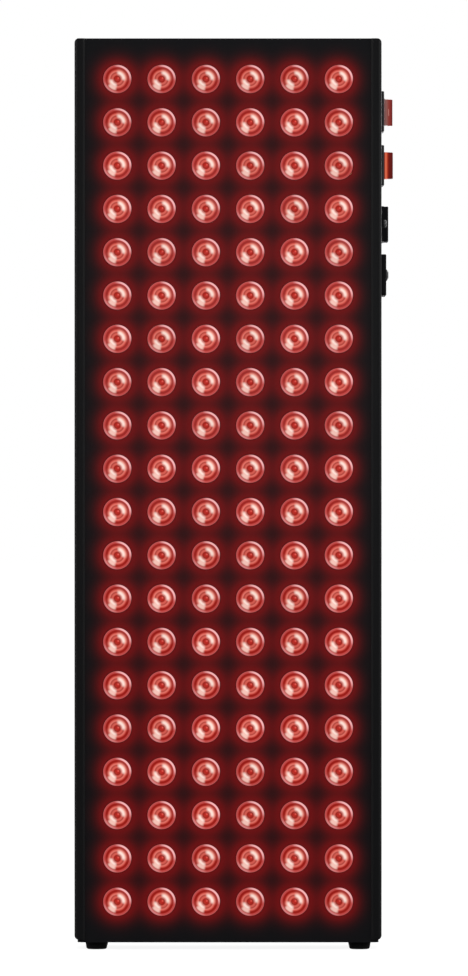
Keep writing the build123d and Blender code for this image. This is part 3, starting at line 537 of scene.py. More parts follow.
@dataclass(frozen=True)
class LitLens(Finish):
    """Clear acrylic lens with the lit emitter behind it, as it looks when it is on.

    The two chips show as pale lobes on one diagonal, round a red disc; outside them a deep
    red band and the rounded rim. On the rim lies a painted highlight, brightest towards the upper
    right with a weaker share towards the lower left, and on the disc a small painted highlight
    towards its upper right. Lengths are shares of the lens's radius. Each lens is turned by up
    to lean_degrees and lit within levels, by a chance drawn from its own place, which scatter
    spreads over the noise.
    """

    grid: LightGrid | None = None
    upper_lobe: Wedge = Wedge(37.0, 0.46, 0.92)
    lower_lobe: Wedge = Wedge(222.0, 0.62, 0.98)
    tail: Wedge = Wedge(236.0, 0.86, 0.985)
    tail_band: Band = Band(0.46, 0.54, 0.70, 0.86)
    # The rim's painted highlight: strongest towards the upper right, a weaker share towards the
    # lower left, within the rim's band.
    upper_rim_highlight: Wedge = Wedge(45.0, 0.5, 1.0)
    lower_rim_highlight: Wedge = Wedge(230.0, 0.7, 1.0)
    rim_highlight_lower_share: float = 0.3
    rim_highlight_band: Band = Band(0.83, 0.88, 0.965, 1.0)
    # A small painted highlight on the red disc, towards its upper right.
    disc_highlight_place: tuple[float, float, float] = (0.07, 0.0, 0.06)
    disc_highlight_radius: float = 0.10
    lean_degrees: float = 5.0
    levels: tuple[float, float] = (0.94, 1.04)
    scatter: tuple[float, float, float] = (31.0, 0.0, 57.0)
    ring_stops: Stops = (
        (0.000, "#B8281F"), (0.100, "#B0221A"), (0.170, "#A82016"), (0.215, "#901A12"),
        (0.265, "#C04A3E"), (0.305, "#D85E52"), (0.350, "#D05A4E"), (0.400, "#C6564A"),
        (0.440, "#A23830"), (0.490, "#CA5C50"), (0.540, "#E0766A"), (0.600, "#D65A4E"),
        (0.660, "#B4342A"), (0.700, "#94160E"), (0.800, "#98180F"), (0.835, "#A82E28"),
        (0.875, "#C24C48"), (0.905, "#B03C3A"), (0.940, "#C45654"), (0.975, "#B44C4A"),
        (1.000, "#782424"),
    )
    lobe_stops: Stops = (
        (0.000, "#B8281F"), (0.100, "#B42C22"), (0.170, "#A02C22"), (0.215, "#902A20"),
        (0.260, "#C0726A"), (0.305, "#CC837A"), (0.350, "#F0BCB2"), (0.400, "#FBDAD0"),
        (0.460, "#FFE6DA"), (0.520, "#FACEC0"), (0.580, "#F0A698"), (0.630, "#DC7A6C"),
        (0.680, "#C45E54"), (0.720, "#A43830"), (0.800, "#A4322C"), (0.835, "#AC3630"),
        (0.875, "#C4524E"), (0.905, "#B44240"), (0.940, "#C65A58"), (0.975, "#B44C4A"),
        (1.000, "#782424"),
    )
    # The tail's colour, then the colours of the painted highlights on the rim and on the disc.
    tail_colour: str = "#F4C4B8"
    rim_highlight_colour: str = "#F8B8BA"
    disc_highlight_colour: str = "#E8584C"

    def dress(self, tree: Tree, shader: Node, place: Socket) -> None:
        """Paints the lit pattern and its painted highlights in each lens's own place.

        Args:
            tree: The material's node tree.
            shader: The material's shader.
            place: Object coordinates.
        """
        flat, chance = self.place_in_lens(tree, place)
        radius = add_node(tree, VECTOR_MATH, {0: flat}, operation="LENGTH").outputs["Value"]
        axes = add_node(tree, "ShaderNodeSeparateXYZ", {0: flat}).outputs
        raw = add_node(tree, MATH, {0: axes["Z"], 1: axes["X"]}, operation="ARCTAN2")
        lean = math.radians(self.lean_degrees)
        turned = add_node(tree, MAP_RANGE, {"Value": chance, "To Min": -lean, "To Max": lean})
        angle = add_node(tree, MATH, {0: raw, 1: turned}, operation="ADD")

        ring, lobe = (add_node(tree, "ShaderNodeValToRGB", {"Fac": radius}) for _ in range(2))
        set_stops(ring, self.ring_stops)
        set_stops(lobe, self.lobe_stops)
        lobes = {0: self.upper_lobe.mask(tree, angle), 1: self.lower_lobe.mask(tree, angle)}
        in_lobe = add_node(tree, MATH, lobes, operation="MAXIMUM")
        tails = {0: self.tail.mask(tree, angle), 1: self.tail_band.mask(tree, radius)}
        in_tail = add_node(tree, MATH, tails, operation="MULTIPLY")
        # Painted highlight along the rim, by angle round the lens.
        rims = {
            0: self.lower_rim_highlight.mask(tree, angle),
            1: self.rim_highlight_lower_share,
            2: self.upper_rim_highlight.mask(tree, angle),
        }
        rim_highlight_by_angle = add_node(tree, MATH, rims, operation="MULTIPLY_ADD")
        edge = self.rim_highlight_band.mask(tree, radius)
        on_rim_highlight = add_node(tree, MATH, {0: rim_highlight_by_angle, 1: edge}, operation="MULTIPLY")
        # Small painted highlight on the disc.
        away = add_node(tree, VECTOR_MATH, {0: flat, 1: self.disc_highlight_place}, operation="DISTANCE")
        ends = {"From Min": self.disc_highlight_radius, "From Max": 0.0}
        in_disc_highlight = add_node(tree, MAP_RANGE, {"Value": away.outputs["Value"], **ends}, **EASED)

        # Over the ring colours go the lobes, the tail, the painted rim highlight and the painted
        # highlight on the disc.
        colour = ring.outputs[0]
        for mask, over in (
            (in_lobe, lobe),
            (in_tail, linear(self.tail_colour)),
            (on_rim_highlight, linear(self.rim_highlight_colour)),
            (in_disc_highlight, linear(self.disc_highlight_colour)),
        ):
            layers = {0: mask, UNDER: colour, OVER: over}
            colour = add_node(tree, "ShaderNodeMix", layers, data_type="RGBA").outputs[MIXED]
        dark, bright = self.levels
        level = add_node(tree, MAP_RANGE, {"Value": chance, "To Min": dark, "To Max": bright})
        lit = add_node(tree, VECTOR_MATH, {0: colour, "Scale": level}, operation="SCALE")
        self.light_up(tree, shader, lit)

    def place_in_lens(self, tree: Tree, place: Socket) -> tuple[Node, Socket]:
        """Adds each lens's own coordinates and its own chance.

        Args:
            tree: The material's node tree.
            place: Object coordinates.

        Returns:
            Place from the lens's middle, where its radius is 1, and a number from 0 to 1.
        """
        grid = self.grid
        corner = (-grid.reach_x, 0, grid.middle_z - grid.reach_z)
        half = Vector((grid.pitch_x / 2, 1.0, grid.pitch_z / 2))
        size = (1 / grid.lens_radius, 0, 1 / grid.lens_radius)
        shifted = add_node(tree, VECTOR_MATH, {0: place, 1: corner}, operation="SUBTRACT")
        local = add_node(tree, VECTOR_MATH, {0: shifted, 1: half, 2: -half}, operation="WRAP")
        flat = add_node(tree, VECTOR_MATH, {0: local, 1: size}, operation="MULTIPLY")
        cell = add_node(tree, VECTOR_MATH, {0: shifted, 1: local}, operation="SUBTRACT")
        seed = add_node(tree, VECTOR_MATH, {0: cell, 1: self.scatter}, operation="MULTIPLY")
        return flat, add_node(tree, "ShaderNodeTexWhiteNoise", {"Vector": seed}).outputs["Value"]


@dataclass(frozen=True)
class RockerGlowAndPaintedHighlight(Finish):
    """Translucent red polycarbonate rocker with a ramp of emitted colour along it. On the lit
    switch the ramp is its lamp's glow, brightest by the bezel; on the unlit switch it is a painted
    highlight, with painted shade right at the bezel.

    Start and end are the places, in metres along X, of the first and the last stop.
    """

    start: float = 0.0
    end: float = 1.0
    stops: Stops = ()

    def dress(self, tree: Tree, shader: Node, place: Socket) -> None:
        """Adds the ramp's light, which fades outwards: the lamp's glow on the lit switch, a painted
        highlight on the unlit one.

        Args:
            tree: The material's node tree.
            shader: The material's shader.
            place: Object coordinates.
        """
        out = add_node(tree, "ShaderNodeSeparateXYZ", {0: place}).outputs["X"]
        ends = {"From Min": self.start, "From Max": self.end}
        share = add_node(tree, MAP_RANGE, {"Value": out, **ends})
        ramp = add_node(tree, "ShaderNodeValToRGB", {"Fac": share})
        set_stops(ramp, self.stops)
        self.light_up(tree, shader, ramp)


# The grain of a mould, a plating or a wire is finer in life. It is drawn a quarter of a
# millimetre apart or more, so that it shows.
PLAIN_FINISHES: tuple[Finish, ...] = (
    # Powder coat baked on steel sheet: near black and satin, with the fine orange peel that
    # breaks a highlight into a soft glow.
    Finish(
        "powder_coated_steel", "#0E0E10", 0.6,
        specular=0.05, grain=0.5, relief=0.012,
        wearers=("rear_cover",),
    ),
    # Extruded aluminium sprayed satin black: smoother than the case, with faint draw lines
    # along its length. The lines are drawn coarser than life, so that they show.
    Finish(
        "sprayed_extruded_aluminium", "#0A0A0B", 0.4,
        specular=0.035, grain=0.35, stretch=(1, 1, 0.04),
        wearers=("left_side_rail", "right_side_rail"),
    ),
    # Moulded nylon: the mould's even spark-eroded grain keeps it dull and near black.
    Finish(
        "moulded_socket_nylon", "#08080A", 0.48,
        ior=1.53, specular=0.025, grain=0.25, relief=0.01,
        wearers=("inlet_body", "outlet_body"),
    ),
    # The switches' nylon, from a smoother mould: dark grey, a shade paler than the rail.
    Finish(
        "moulded_switch_nylon", "#222224", 0.42,
        ior=1.53, specular=0.06, grain=0.25,
        wearers=("upper_switch_body", "lower_switch_body"),
    ),
    # Moulded glass-filled polyester: dark grey, a little shinier, with a flow-marked skin.
    Finish("moulded_fan_polyester", "#17181A", 0.4, ior=1.57, wearers=("fan_frame_",)),
    # Zinc-plated turned steel: soft sheen with the plating's cloudy tint.
    Finish(
        "zinc_plated_steel", "#A3A6A9", 0.38, 1.0,
        grain=0.5, relief=0.004, mottle=0.12,
        wearers=("board_standoffs", "wall_bracket_inserts", "hanging_inserts"),
    ),
    # Drawn steel wire, bright plated: thin sharp highlights along each ring.
    Finish(
        "bright_plated_wire", "#A9ABAE", 0.26, 1.0,
        grain=0.4, relief=0.002,
        wearers=("fan_guard_",),
    ),
    # Plain extruded aluminium: pale grey, brushed by the die along the fins.
    Finish(
        "extruded_aluminium", "#A9ACB0", 0.34, 1.0,
        stretch=(1, 1, 0.03),
        wearers=("heat_sink_1", "heat_sink_2"),
    ),
    # Black solder mask printed on aluminium: dark and even, so the gap round each lens reads
    # as a dark ring.
    Finish(
        "printed_solder_mask", "#141414", 0.45,
        ior=1.55, grain=0.4, relief=0.004,
        wearers=("led_board_",),
    ),
    # Moulded black nylon, darker than the switches' bodies: a dull dark collar under each lens.
    Finish("moulded_holder_nylon", "#161617", 0.5, ior=1.53, wearers=("lens_holders_",)),
    # Cast silicone over the chips: smooth, wet-looking, red with their light.
    Finish("cast_silicone", "#C7452F", 0.25, ior=1.41, relief=0.002, wearers=("led_emitters_",)),
    # Enamelled copper wire in wound layers: brown-red metal with the turns' fine ridges.
    Finish(
        "wound_enamelled_copper", "#8C4A22", 0.35, 1.0,
        relief=0.05, stretch=(1, 6, 1),
        wearers=("fan_stators",),
    ),
    # Moulded flame-retardant plastic: off-white with a dull leather grain.
    Finish(
        "moulded_white_plastic", "#D2D3D0", 0.5,
        ior=1.57, grain=0.4, relief=0.01,
        wearers=("led_driver_",),
    ),
    # Moulded natural nylon: warm ivory, half shiny.
    Finish("moulded_ivory_nylon", "#D8D2BC", 0.45, ior=1.53, wearers=("terminal_block",)),
    # Stamped and plated brass: yellow metal with clean, tight highlights.
    Finish(
        "stamped_plated_brass", "#C9B37A", 0.28, 1.0,
        relief=0.003,
        wearers=(
            "inlet_pins", "outlet_contacts", "upper_switch_tabs", "lower_switch_tabs", "earth_stud",
        ),
    ),
    # Moulded rubber: matt and slightly dusty, with no highlight of its own.
    Finish(
        "moulded_rubber", "#090909", 0.75,
        ior=1.52, specular=0.03, grain=0.4, relief=0.02, mottle=0.1,
        wearers=("rubber_feet",),
    ),
    # Zinc-plated rolled screws: brighter than the turned pieces.
    Finish(
        "zinc_plated_sink_screw", "#AEB0B3", 0.3, 1.0,
        relief=0.004,
        wearers=("heat_sink_screws",),
    ),
)


# Sub-assemblies


@dataclass
class Lenses:
    """The 120 lenses, turned in one profile and set in rows on their boards.

    Sizes are in millimetres, and heights are above the board. From the axis outwards the front
    has a button in a well, a dome, a gutter and a rounded rim. Behind the flange a swollen cone
    runs in to a hollow tip.
    """

    boards: int = 4
    columns: int = 6
    rows: int = 20
    radius: float = 9.75
    face: float = 11.4
    rim_width: float = 1.5
    rim_round: float = 0.6
    groove: float = 0.6
    gutter_inner: float = 0.25
    gutter_outer: float = 0.15
    gutter_dip: float = 0.02
    dome_radius: float = 5.9
    dome_rise: float = 0.9
    dome_power: float = 2.2
    well_radius: float = 2.3
    well_depth: float = 0.5
    well_lip: float = 0.35
    button_rise: float = 0.35
    flange_back: float = 8.8
    flange_step: float = 0.05
    cone_radius: float = 8.0
    cone_swell: float = 0.9
    cone_dip: float = 0.6
    tip_radius: float = 3.3
    tip_height: float = 1.9
    tip_hollow: float = 2.0
    spans: int = 6
    rim_spans: int = 8
    steps: int = 40

    def grid(self) -> LightGrid:
        """Reads the grid of lights from the frame's lens nodes.

        Returns:
            The grid.
        """
        low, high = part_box("lenses_1")[0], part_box(f"lenses_{self.boards}")[1]
        radius = self.radius * MM
        pitch_x = (high.x - low.x - 2 * radius) / (self.columns - 1)
        pitch_z = (high.z - low.z - 2 * radius) / (self.rows - 1)
        middle_z = (low.z + high.z) / 2
        return LightGrid(self.columns, self.rows, radius, pitch_x, pitch_z, middle_z)

    def outline(self) -> Points:
        """Works out one lens's profile.

        Returns:
            (radius, height) from the axis in front to the axis behind.
        """
        shares = [i / self.spans for i in range(self.spans + 1)]
        floor = self.face - self.rim_round - self.groove
        well = floor + self.dome_rise - self.well_depth
        button = [
            (self.well_radius * s, well + self.button_rise * (1 - s * s)) for s in shares[:-1]
        ]
        inner = self.well_radius + self.well_lip
        dome = [
            (
                inner + (self.dome_radius - inner) * s,
                floor + self.dome_rise * (1 - s**self.dome_power),
            )
            for s in shares
        ]
        gutter = [
            (self.dome_radius + self.gutter_inner, floor - self.gutter_dip),
            (self.radius - self.rim_width - self.gutter_outer, floor),
        ]
        half = self.rim_width / 2
        squash = self.rim_round / half
        rim = [
            (r, self.face - self.rim_round + (h - self.face) * squash)
            for r, h in arc((self.radius - half, self.face), half, math.pi, 0, self.rim_spans)
        ]
        back = [
            (self.radius, self.flange_back),
            (self.cone_radius + self.flange_step, self.flange_back),
        ]
        cone = [
            (
                self.cone_radius
                + (self.tip_radius - self.cone_radius) * s
                + self.cone_swell * math.sin(math.pi * s),
                self.flange_back
                + (self.tip_height - self.flange_back) * s
                - self.cone_dip * math.sin(math.pi * s),
            )
            for s in shares
        ]
        tip = (0, self.tip_height + self.tip_hollow)
        return [*button, (self.well_radius, well), *dome, *gutter, *rim, *back, *cone, tip]

    def build(self, material: Material) -> None:
        """Builds one piece of lenses for each board.

        Args:
            material: Material of the lenses.
        """
        grid = self.grid()
        board_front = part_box("led_board_1")[0].y
        for board in range(self.boards):
            lens = bmesh.new()
            spin_profile(lens, self.outline(), self.steps)
            places = [
                Matrix.Translation((x, board_front, z)) @ Facing.FRONT.turn()
                for x, z in grid.places(board, self.boards)
            ]
            together = bmesh.new()
            add_copies(together, lens, places)
            piece = add_piece(f"lit_lenses_{board + 1}", together, material)
            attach(piece, "panel")
            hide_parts(f"lenses_{board + 1}")
            LOG.info("lenses of board %d: %d", board + 1, len(places))


@dataclass
class RockerSwitch:
    """Rocker of one switch, with its two marks.

    Sizes are in millimetres. Where is the switch's place in the frame's names, and direction is
    1 or -1, the way that the rocker leans at rest. The bar's sides run outwards, along the
    rocker and across it.
    """

    where: str
    body: str
    direction: int
    swing_degrees: float = 16.0
    half_length: float = 10.5
    width: float = 18.2
    pivot_depth: float = 4.5
    flush: float = 0.5
    dish: float = 0.35
    crown_spans: int = 12
    skirt_degrees: float = 3.0
    skirt_spans: int = 6
    hub_radius: float = 3.0
    neck_share: float = 1.6
    foot_share: float = 0.8
    edge: float = 0.55
    edge_segments: int = 3
    mark_share: float = 0.55
    bar: tuple[float, float, float] = (0.2, 0.8, 4.6)
    ring_radius: float = 2.0
    ring_wire: float = 0.4
    ring_squash: float = 0.25
    ring_steps: int = 28
    ring_wire_steps: int = 8

    def pivot(self) -> Matrix:
        """Works out where the rocker is at rest, from its bezel in the frame.

        Returns:
            Place and turn of its pivot.
        """
        low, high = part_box(f"{self.where}_switch_body")
        middle = (low + high) / 2
        spot = Vector((high.x - self.pivot_depth * MM, middle.y, middle.z))
        lean = math.radians(self.swing_degrees * self.direction)
        return Matrix.Translation(spot) @ Matrix.Rotation(lean, 4, "Z")

    def crown(self, y: float) -> float:
        """Works out the crown's height above the pivot.

        Args:
            y: Distance along the rocker from its middle.

        Returns:
            The height.
        """
        swing = math.radians(self.swing_degrees)
        middle = (self.pivot_depth + self.flush) / math.cos(swing)
        share = abs(y) / self.half_length
        return middle + abs(y) * math.tan(swing) - self.dish * math.sin(math.pi * share)

    def outline(self) -> Points:
        """Works out the rocker's outline about its pivot.

        Returns:
            (x, y) points round it.
        """
        shares = [2 * i / self.crown_spans - 1 for i in range(self.crown_spans + 1)]
        top = [(self.crown(self.half_length * s), self.half_length * s) for s in shares]
        tip = self.crown(self.half_length)
        radius = math.hypot(self.half_length, tip)
        high = math.atan2(tip, self.half_length)
        low = math.radians(self.skirt_degrees)
        rear = [(y, x) for x, y in arc((0, 0), radius, high, low, self.skirt_spans)][1:]
        neck = (rear[-1][0], self.hub_radius * self.neck_share)
        foot = (-self.hub_radius, self.hub_radius * self.foot_share)
        under = [neck, foot, (foot[0], -foot[1]), (neck[0], -neck[1])]
        front = [(x, -y) for x, y in reversed(rear)]
        return [*top, *rear, *under, *front]

    def build(self, material: Material, paint: Material) -> None:
        """Builds the rocker and its marks.

        Args:
            material: Material of the rocker.
            paint: Material of the marks.
        """
        bm = bmesh.new()
        half = self.width / 2 * MM
        face = bm.faces.new([bm.verts.new((x * MM, y * MM, -half)) for x, y in self.outline()])
        grown = bmesh.ops.extrude_face_region(bm, geom=[face])
        moved = [v for v in grown["geom"] if isinstance(v, bmesh.types.BMVert)]
        bmesh.ops.translate(bm, verts=moved, vec=(0, 0, 2 * half))
        bmesh.ops.recalc_face_normals(bm, faces=bm.faces)
        # Rounded are the edges along the crown, on both sides, and the one across each end.
        rims = []
        for edge in bm.edges:
            one, other = (v.co for v in edge.verts)
            is_along = abs(one.z - other.z) < MERGE
            is_end = abs(abs(one.y) - self.half_length * MM) < MERGE
            if min(one.x, other.x) > self.pivot_depth * MM and (is_along or is_end):
                rims.append(edge)
        bmesh.ops.bevel(
            bm,
            geom=rims,
            offset=self.edge * MM,
            segments=self.edge_segments,
            profile=0.5,
            affect="EDGES",
            material=-1,
        )
        bm.transform(self.pivot())
        piece = add_piece(f"{self.where}_rocker_moulding", bm, material)
        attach(piece, self.body)
        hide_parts(f"{self.where}_switch_rocker")
        self.build_marks(paint)
        LOG.info("%s rocker", self.where)

    def build_marks(self, paint: Material) -> None:
        """Adds the bar and the ring that mark on and off.

        Args:
            paint: Material of the marks.
        """
        bar = bmesh.new()
        bmesh.ops.create_cube(bar, size=1.0)
        bmesh.ops.scale(bar, vec=Vector(self.bar) * MM, verts=bar.verts)
        ring = bmesh.new()
        loop = arc((self.ring_radius, 0), self.ring_wire, 0, TURN, self.ring_wire_steps)[:-1]
        flat = [(r, h * self.ring_squash) for r, h in loop]
        spin_profile(ring, flat, self.ring_steps, closed=True)
        ring.transform(Matrix.Rotation(QUARTER, 4, "Y"))
        spot = self.mark_share * self.half_length
        lean = math.radians(self.swing_degrees)
        together = bmesh.new()
        for side, mark in ((1, bar), (-1, ring)):
            seat = Matrix.Translation((self.crown(spot) * MM, side * spot * MM, 0))
            place = self.pivot() @ seat @ Matrix.Rotation(-side * lean, 4, "Z")
            add_copies(together, mark, [place])
        piece = add_piece(f"{self.where}_rocker_marks", together, paint)
        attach(piece, self.body)


@dataclass
class FanRotor:
    """Hub and curved blades of one fan.

    Sizes are in millimetres and pitches in degrees. The hub's face is dished round a boss at its
    middle. A blade is pitched more at its root than at its tip, where it is wider by widening,
    bowed by camber and drawn back by sweep.
    """

    node: str
    body: str
    hub_radius: float = 17.0
    hub_wall: float = 1.6
    hub_height: float = 17.0
    hub_round: float = 2.2
    boss_radius: float = 5.0
    boss_slope: float = 0.3
    dish_depth: float = 0.25
    dish_margin: float = 0.6
    shaft_radius: float = 1.5
    shaft_end: float = 20.4
    tip_radius: float = 36.8
    blades: int = 7
    blade_wall: float = 1.3
    root_pitch: float = 48.0
    tip_pitch: float = 30.0
    chord: float = 22.0
    widening: float = 0.12
    depth: float = 16.6
    camber: float = 1.8
    sweep: float = 4.0
    steps: int = 56
    round_spans: int = 5
    blade_segments: int = 8

    def hub(self) -> Points:
        """Works out the hub's profile.

        Returns:
            (radius, height) from the middle of the face to the end of the shaft.
        """
        corner = self.hub_radius - self.hub_round
        inside = self.hub_radius - self.hub_wall
        return [
            (0.0, 0.0),
            (self.boss_radius, 0.0),
            (self.boss_radius + self.boss_slope, -self.dish_depth),
            (corner - self.dish_margin, -self.dish_depth),
            *arc((corner, -self.hub_round), self.hub_round, QUARTER, 0, self.round_spans),
            (self.hub_radius, -self.hub_height),
            (inside, -self.hub_height),
            (inside, -self.hub_wall),
            (self.shaft_radius, -self.hub_wall),
            (self.shaft_radius, -self.shaft_end),
            (0.0, -self.shaft_end),
        ]

    def blade(self) -> Shape:
        """Makes one blade round the Z axis.

        Returns:
            The blade.
        """
        bm = bmesh.new()
        count = self.blade_segments
        bmesh.ops.create_grid(bm, x_segments=count, y_segments=count, size=0.5)
        root = self.hub_radius - self.hub_wall / 2
        for vert in bm.verts:
            # Reach goes from 0 at the root to 1 at the tip, and run along the chord.
            reach, run = vert.co.x + 0.5, vert.co.y
            radius = root + (self.tip_radius - root) * reach
            pitch = math.radians(self.root_pitch + (self.tip_pitch - self.root_pitch) * reach)
            length = self.chord * (1 + self.widening * reach)
            height = run * min(self.depth, length * math.sin(pitch)) - self.hub_height / 2
            bow = self.camber * (1 - 4 * run * run)
            angle = (run * length * math.cos(pitch) + bow - self.sweep * reach) / radius
            vert.co = Vector((radius * math.cos(angle), radius * math.sin(angle), height)) * MM
        bmesh.ops.recalc_face_normals(bm, faces=bm.faces)
        bmesh.ops.solidify(bm, geom=list(bm.faces), thickness=self.blade_wall * MM)
        bmesh.ops.recalc_face_normals(bm, faces=bm.faces)
        return bm

    def build(self, material: Material) -> None:
        """Builds the rotor.

        Args:
            material: Material of hub and blades.
        """
        low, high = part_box(self.node)
        middle_z = (low.z + high.z) / 2
        bm = bmesh.new()
        spin_profile(bm, self.hub(), self.steps)
        turns = [Matrix.Rotation(TURN * i / self.blades, 4, "Z") for i in range(self.blades)]
        add_copies(bm, self.blade(), turns)
        bm.transform(Matrix.Translation((0, high.y, middle_z)) @ Facing.BACK.turn())
        piece = add_piece(f"{self.node}_moulding", bm, material)
        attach(piece, self.body)
        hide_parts(self.node)
        LOG.info("%s with %d blades, middle %.3f", self.node, self.blades, middle_z)


def loose_boxes(node: bpy.types.Object) -> list[tuple[Vector, Vector]]:
    """Measures each separate solid in a frame node.

    Args:
        node: The frame node.

    Returns:
        The lowest and the highest corner of each solid.
    """
    bm = bmesh.new()
    bm.from_mesh(node.data)
    bm.transform(node.matrix_world)
    bmesh.ops.remove_doubles(bm, verts=bm.verts, dist=MERGE)
    seen = set()
    boxes = []
    for first in bm.verts:
        if first in seen:
            continue
        seen.add(first)
        solid = [first]
        for vert in solid:
            joined = {edge.other_vert(vert) for edge in vert.link_edges} - seen
            seen |= joined
            solid.extend(joined)
        spans = [[v.co[axis] for v in solid] for axis in range(3)]
        boxes.append((Vector([min(s) for s in spans]), Vector([max(s) for s in spans])))
    bm.free()
    return boxes


@dataclass
class Screws:
    """The cross-recessed screws of one frame node, with the node's nuts.

    Sizes are in millimetres, and head is the head's height. Flat, arm and web are shares of the
    head's radius, round and recess of its height, end and bore of the shank's radius. A solid
    longer than screw_share times the head is a screw, and any other a nut.
    """

    node: str
    slot: str
    facing: Facing
    head: float
    shank_radius: float
    domed: float = 0.04
    round_share: float = 0.4
    flat_share: float = 0.62
    arm_share: float = 0.48
    web_share: float = 0.12
    recess_share: float = 0.6
    recess_taper: float = 0.7
    end_share: float = 0.8
    end_chamfer: float = 0.4
    bore_share: float = 1.17
    nut_chamfer: float = 0.3
    nut_sides: int = 6
    screw_share: float = 2.5
    round_spans: int = 4
    steps: int = 24

    def screw(self, radius: float, shank: float) -> Shape:
        """Makes one screw along +Z, with its head's seat at the origin.

        Args:
            radius: The head's radius.
            shank: The shank's length.

        Returns:
            The screw.
        """
        bm = bmesh.new()
        rounding = self.head * self.round_share
        corner = (radius - rounding, self.head - self.domed * radius - rounding)
        body = [
            (0.0, -shank),
            (self.shank_radius * self.end_share, -shank),
            (self.shank_radius, -shank + self.end_chamfer),
            (self.shank_radius, 0.0),
            (radius, 0.0),
            *arc(corner, rounding, 0, QUARTER, self.round_spans),
            (radius * self.flat_share, self.head),
        ]
        spin_profile(bm, body, self.steps)
        rims = [e for e in bm.edges if e.is_boundary]
        arm, web = radius * self.arm_share * MM, radius * self.web_share * MM
        quarter = [(arm, web), (web, web), (web, arm)]
        corners = quarter + [(-y, x) for x, y in quarter]
        corners += [(-x, -y) for x, y in corners]
        verts = [bm.verts.new((x, y, self.head * MM)) for x, y in corners]
        cross = [bm.edges.new(pair) for pair in zip(verts, verts[1:] + verts[:1])]
        bmesh.ops.triangle_fill(bm, edges=rims + cross, use_beauty=True)
        wall = bmesh.ops.extrude_edge_only(bm, edges=cross)
        low = [v for v in wall["geom"] if isinstance(v, bmesh.types.BMVert)]
        bmesh.ops.translate(bm, verts=low, vec=(0, 0, -self.head * self.recess_share * MM))
        bmesh.ops.scale(bm, vec=(self.recess_taper, self.recess_taper, 1.0), verts=low)
        bmesh.ops.contextual_create(bm, geom=low)
        bmesh.ops.recalc_face_normals(bm, faces=bm.faces)
        return bm

    def nut(self, corner: float, height: float) -> Shape:
        """Makes one hexagonal nut along +Z, from the origin up.

        Args:
            corner: Radius to the nut's corners.
            height: The nut's height.

        Returns:
            The nut.
        """
        bm = bmesh.new()
        bore = self.shank_radius * self.bore_share
        inner = corner - self.nut_chamfer
        lower = [(bore, 0), (inner, 0), (corner, self.nut_chamfer)]
        upper = [(r, height - h) for r, h in reversed(lower)]
        spin_profile(bm, lower + upper, self.nut_sides, closed=True)
        return bm

    def build(self, material: Material, nodes: FrameNodes) -> None:
        """Builds the node's screws and nuts.

        Args:
            material: Material of the screws.
            nodes: All of the frame's nodes.
        """
        turn = self.facing.turn()
        axis = turn.to_3x3() @ Vector((0, 0, 1))
        together = bmesh.new()
        for low, high in loose_boxes(nodes[self.node]):
            size = (high - low) / MM
            length = abs(size.dot(axis))
            across = sorted(size[i] for i in range(3) if abs(axis[i]) < 0.5)
            outer = (low + high) / 2 + axis * (length / 2 * MM)
            if length > self.screw_share * self.head:
                shape, drop = self.screw(across[0] / 2, length - self.head), self.head
            else:
                shape, drop = self.nut(across[-1] / 2, length), length
            add_copies(together, shape, [Matrix.Translation(outer - axis * (drop * MM)) @ turn])
        piece = add_piece(f"{self.node}_turned", together, material)
        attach(piece, "panel")
        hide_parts(self.node)
        LOG.info("%s", self.node)


# Stage


@dataclass(frozen=True)
class Lamp:
    """A soft rectangular lamp. Place and size are in metres."""

    name: str
    place: tuple[float, float, float]
    size: tuple[float, float]
    watts: float

    def hang(self, aim: Vector) -> None:
        """Hangs the lamp.

        Args:
            aim: What it points at, in metres.
        """
        data = bpy.data.lights.new(self.name, "AREA")
        data.shape = "RECTANGLE"
        data.size, data.size_y = self.size
        data.energy = self.watts
        hung = add_object(self.name, data)
        hung.location = self.place
        hung.rotation_euler = (aim - Vector(self.place)).to_track_quat("-Z", "Y").to_euler()
        hung.visible_camera = False


